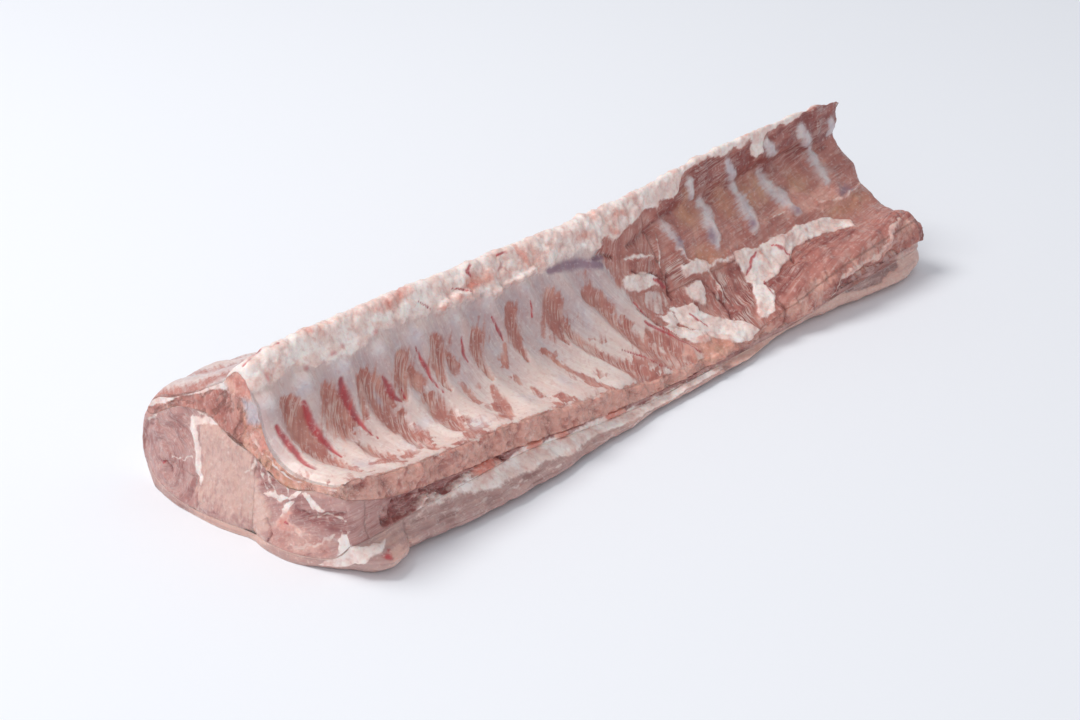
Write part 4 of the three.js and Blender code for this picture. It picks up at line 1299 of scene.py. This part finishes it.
lumbar = loin_hollow * ramp(lie_v, 4.5, 4.8) * ramp(rack_x, 66, 90)
chine = ramp(rack_x, 60, 90) * ramp(lie_v, 6.3, 6.5)
chine = chine * (1 - above_half(ridge_fat, 0.3)) * (1 - far_back)
rack_outside = {
    "film": np.maximum.reduce([
        hollow * (
            1.0 - 0.92 * np.maximum(windows, 0.85 * thin_skin) - 0.34 * low_film * (0.7 + 0.6 * mid)
            # Painted shade: between the rib heads the skin is thinned so the darker meat shows, as the
            # shade in the valleys.
            - 0.42 * valley * (0.8 + 0.5 * mid) * ramp(lie_v, 4.7, 5.3) * (1 - ramp(lie_v, 5.8, 6.2))
            - 0.5 * valley * speckle * (1 - ramp(lie_v, 4.6, 5.4))
        ),
        lumbar * np.clip(0.14 + 0.7 * spurs + 0.2 * mid, 0, 1),
        loin_hollow * (0.1 + 0.16 * mid + 0.5 * above_half(grey_film)),
        feathers * (0.35 + 0.45 * feather + 0.2 * mid),
        0.9 * discs * chine, 0.62 * above_half(pale_rim),
    ]),
    # Painted shade in part: the skin's greyer colour rises up the hollow under the overhanging ridge and
    # gathers in the valleys between the ribs; the rest is its own grey tone.
    "cool": ramp(lie_v, 3.6, 5.6) * (1 - 0.6 * ramp(lie_v, 5.9, 6.4) * among_ribs) * (0.62 + 0.25 * mid)
    + 0.42 * valley * ramp(lie_v, 3.4, 4.6) + 0.04 + 0.1 * broad,
    "deep": 0.52 + 0.12 * mid - 0.06 * lumbar
    # The chine wall is a darker red meat, made darker still as painted shade under the overhanging fat.
    + 0.42 * chine + 0.3 * above_half(red_meat, 0.4) + 0.22 * above_half(striated, 0.4)
    + 0.02 * above_half(lump, 0.4) + 0.62 * above_half(rack_lens, 0.4) - 0.3 * above_half(cut_rib, 0.4)
    + 0.1 * above_half(round_end, 0.4) + 0.5 * np.clip(crevices, 0, 1) ** 2 - 0.1 * hollow
    # Painted shadow in the groove under the discs.
    + 0.3 * np.clip(shadowed_groove, 0, 1) * loin_end - 0.2 * above_half(lumbar_red, 0.4)
    + 0.4 * above_half(end_lump, 0.4) + above_half(end_lump, 0.4) * 0.6 * (0.4 - lumps_fine)
    - edge_strip * (0.24 - 0.34 * mid)
    - 0.24 * sawn_edge * ramp(rack_x, -190, -120)
    + sawn_edge * (0.9 * (0.42 - lumps_fine) + 0.2 * above_half(sawn, 0.4)),
    "fat": np.maximum.reduce([
        ridge_fat * (1 - 0.6 * np.clip(0.5 * lumps_fine - 0.2, 0, 1)),
        loin_hollow * np.maximum(white_band, pads), 0.62 * strands * loin_hollow,
        0.55 * far_back * (1 - feathers) * (0.8 + 0.5 * mid),
    ]),
    "peach": np.maximum.reduce([
        ridge_fat * (0.02 + 0.72 * np.clip(peach_fat, 0, 1) + 0.24 * mid + 0.4 * (0.5 - lumps_wide)),
        0.55 * torn_lip * (0.8 + 0.3 * fine), 0.5 * above_half(cut_rib) * (0.9 + 0.4 * mid),
        0.5 * above_half(lumbar_red, 0.4), 0.24 * sawn_edge * (1 + 1.4 * (lumps_fine - 0.5)),
        0.32 * above_half(white_band) * (0.6 + fine), 0.45 * above_half(pale_rim),
    ]),
    "marrow": np.maximum(
        sawn_edge * np.maximum(0.6 * sawn, 0.24 + 0.3 * fine),
        0.62 * far_back * (1 - ramp(rack_v, 9.2, 9.6)) * (0.7 + 0.4 * mid),
    ),
    "bone": np.maximum.reduce([
        0.85 * knuckles * hollow, 0.62 * milky * hollow * (0.9 + 0.3 * mid),
        0.66 * spurs * lumbar, 0.9 * discs * chine,
    ]),
    "thready": np.maximum.reduce([
        hollow * windows, loin_hollow * above_half(striated, 0.4), 0.3 * loin_hollow * (0.5 + mid),
    ]),
    "stain": on_rack(spot, STAINS),
    "vein": np.maximum(on_rack(stroke, VEIN), 0.85 * on_rack(spot, BRUISES)),
    "blood": np.maximum.reduce([
        blood_lines, 0.62 * on_rack(spot, PINK_SPOTS),
        0.56 * above_half(ridge_fat, 0.3) * np.clip(0.3 + peach_fat, 0, 1)
        * ramp(-lumps_wide, -0.34, -0.08),
    ]),
}


def rack_face(y, z):
    """The masks of the rack's end cuts: sawn bone, with gristle and a white skin round it."""
    spot_of = np.stack([0 * y, y, z], -1)
    y = y + 1.2 * noise(spot_of, 6, seed=105, octaves=2)
    z = z + 1.2 * noise(spot_of, 6, seed=106, octaves=2)
    body = region(y, z, [(14, 96), (-4, 106), (-16, 102), (-20, 88), (-6, 84), (8, 84)], 4)
    gristle = region(y, z, [(-5, 84), (-14, 87), (-21, 84), (-22, 74), (-12, 71)], 2.5)
    strip = above_half(ramp(-y, 0, 16), 0.4)
    crown = ramp(y, 0, 10) * ramp(z - np.interp(y, [0, 32, 59, 84], [88, 75, 61, 47]), -2, 3)
    line = lines_at(y, z, [[(84, 57, 0.8), (56, 73, 1.2), (30, 89, 1.2), (6, 100, 1.0)]])
    flecks = lines_at(y, z, [
        [(-30, 57, 0.8), (-46, 50, 1.0), (-58, 50, 0.8)], [(-14, 64, 0.9), (-26, 56, 0.7)],
        [(-60, 56, 0.8), (-72, 53, 1.0), (-84, 55, 0.7)],
        [(-70, 48, 1.0), (-84, 48, 1.2), (-90, 47, 0.8)],
    ])
    return {
        "marrow": np.maximum(0.95 * body, 0.4 * strip + 0.3 * strip * noise(spot_of, 8, seed=108)),
        "bone": gristle,
        "stain": strip,
        "fat": np.maximum(0.72 * crown, flecks),
        "deep": mix(0.42, 0.22, strip) + 0.2 * noise(spot_of, 10, seed=107),
        "peach": np.maximum(0.72 * body, 0.5 * strip * (1 + 0.5 * noise(spot_of, 6, seed=109))),
        "thready": strip,
        "blood": 0.9 * line,
    }


rack_columns = rack_outline.shape[1]
run_s = np.zeros((STATIONS, rack_columns))
run_s[:, : len(rack_round)] = round_mm(rack_round)[None, :]
run_s = np.concatenate([run_s.ravel(), rack_points[run_s.size :, 2]])
run_x = np.where(np.abs(rack_points[:, 0]) > ON_CUT, rack_points[:, 1], rack_points[:, 0])
down = np.clip((round_mm(RIB_HEAD) - run_s) / (round_mm(RIB_HEAD) - round_mm(EDGE_TOP)), 0, 1)
slant = mix(RIB_SLANT["blade"], RIB_SLANT["loin"], ramp(run_x, RIB_SLANT["from"], RIB_SLANT["to"]))
between_ribs = np.stack([0.86 * run_x - 0.5 * run_s, 0.5 * run_x + 0.86 * run_s], -1)
cut_across = 1.2 * np.stack([run_x, 10 * run_s], -1)
along_loin = np.stack([1.3 * run_s - 0.16 * run_x, run_x], -1)
up_the_side = np.stack([run_x - 0.2 * run_s, run_s], -1)
fibres = np.where((run_x > PAST_RIBS)[:, None], along_loin, between_ribs)
upright = (run_x > PAST_RIBS) & (run_x < 134) & (run_s < round_mm(4.55))
fibres = np.where(upright[:, None], up_the_side, fibres)
fibres = np.where((run_s < round_mm(1.98))[:, None], cut_across, fibres)
rib_run = np.stack([run_x - slant * down - 2 * down, run_s, 0 * run_s], -1)

rack_ends = rack_face(rack_points[:, 1], rack_points[:, 2])
rack = make_piece(
    "ribs_and_chine",
    rack_points,
    rack_faces,
    whole_masks(rack_points, rack_columns, rack_outside, rack_ends),
    {"grain": np.concatenate([fibres, 0 * fibres[:, :1]], -1), "run": rib_run},
)
rack.data.materials.append(
    flesh("rack_meat_and_bone", tint(218, 164, 149), tint(184, 119, 108), tint(142, 74, 68), 2.1, "run")
)
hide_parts("rib_rack")
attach(rack, "root")


# The table: a plain pale matt surface, wide enough to fill the picture. It takes the loin's
# soft shadow.
TABLE_SIZE = 40
bpy.ops.mesh.primitive_plane_add(size=TABLE_SIZE, location=(0, 0, 0))
table = bpy.context.object
table.name = "table"
paper = bpy.data.materials.new("pale_paper")
paper.use_nodes = True
PAPER = {"Base Color": (0.86, 0.88, 0.92, 1), "Roughness": 0.9, "Specular IOR Level": 0.1}
for socket, value in PAPER.items():
    paper.node_tree.nodes["Principled BSDF"].inputs[socket].default_value = value
table.data.materials.append(paper)


# The light: a wide soft panel overhead to the left, a weaker one from behind the camera, and a
# white room all round.
LOIN_HEART = Vector((0, 0, 0.04))
DAYLIGHT = (1, 0.985, 0.97)


def panel(name, place, size, power):
    """A round soft light at place, size metres across and power watts, turned to the loin."""
    light = bpy.data.lights.new(name, "AREA")
    light.shape = "DISK"
    light.size = size
    light.energy = power
    light.color = DAYLIGHT
    made = bpy.data.objects.new(name, light)
    made.location = place
    made.rotation_euler = (LOIN_HEART - Vector(place)).to_track_quat("-Z", "Y").to_euler()
    bpy.context.scene.collection.objects.link(made)


panel("overhead_panel", (-0.9, 1.2, 2.4), 1.5, 49)
panel("side_panel", (-2.0, -1.4, 1.2), 1.8, 11)
room = bpy.data.worlds.new("white_room")
bpy.context.scene.world = room
room.use_nodes = True
room.node_tree.nodes["Background"].inputs["Color"].default_value = (0.93, 0.95, 1, 1)
room.node_tree.nodes["Background"].inputs["Strength"].default_value = 0.51
bpy.context.scene.view_settings.view_transform = "Standard"


# The camera: a long lens on the near side of the blade end, looking down at the hollow. Its
# place and heading are fitted to the photo's outline.
LENS_LENGTH, SENSOR_WIDTH = 83.33, 36
CAMERA_PLACE = Vector((-1.1220, -1.0108, 0.7522))
CAMERA_HEADING = Vector((0.6583, 0.6075, -0.4446))
lens = bpy.data.cameras.new("long_lens")
lens.lens = LENS_LENGTH
lens.sensor_width = SENSOR_WIDTH
camera = bpy.data.objects.new("camera", lens)
camera.location = CAMERA_PLACE
camera.rotation_euler = CAMERA_HEADING.to_track_quat("-Z", "Y").to_euler()
bpy.context.scene.collection.objects.link(camera)
bpy.context.scene.camera = camera
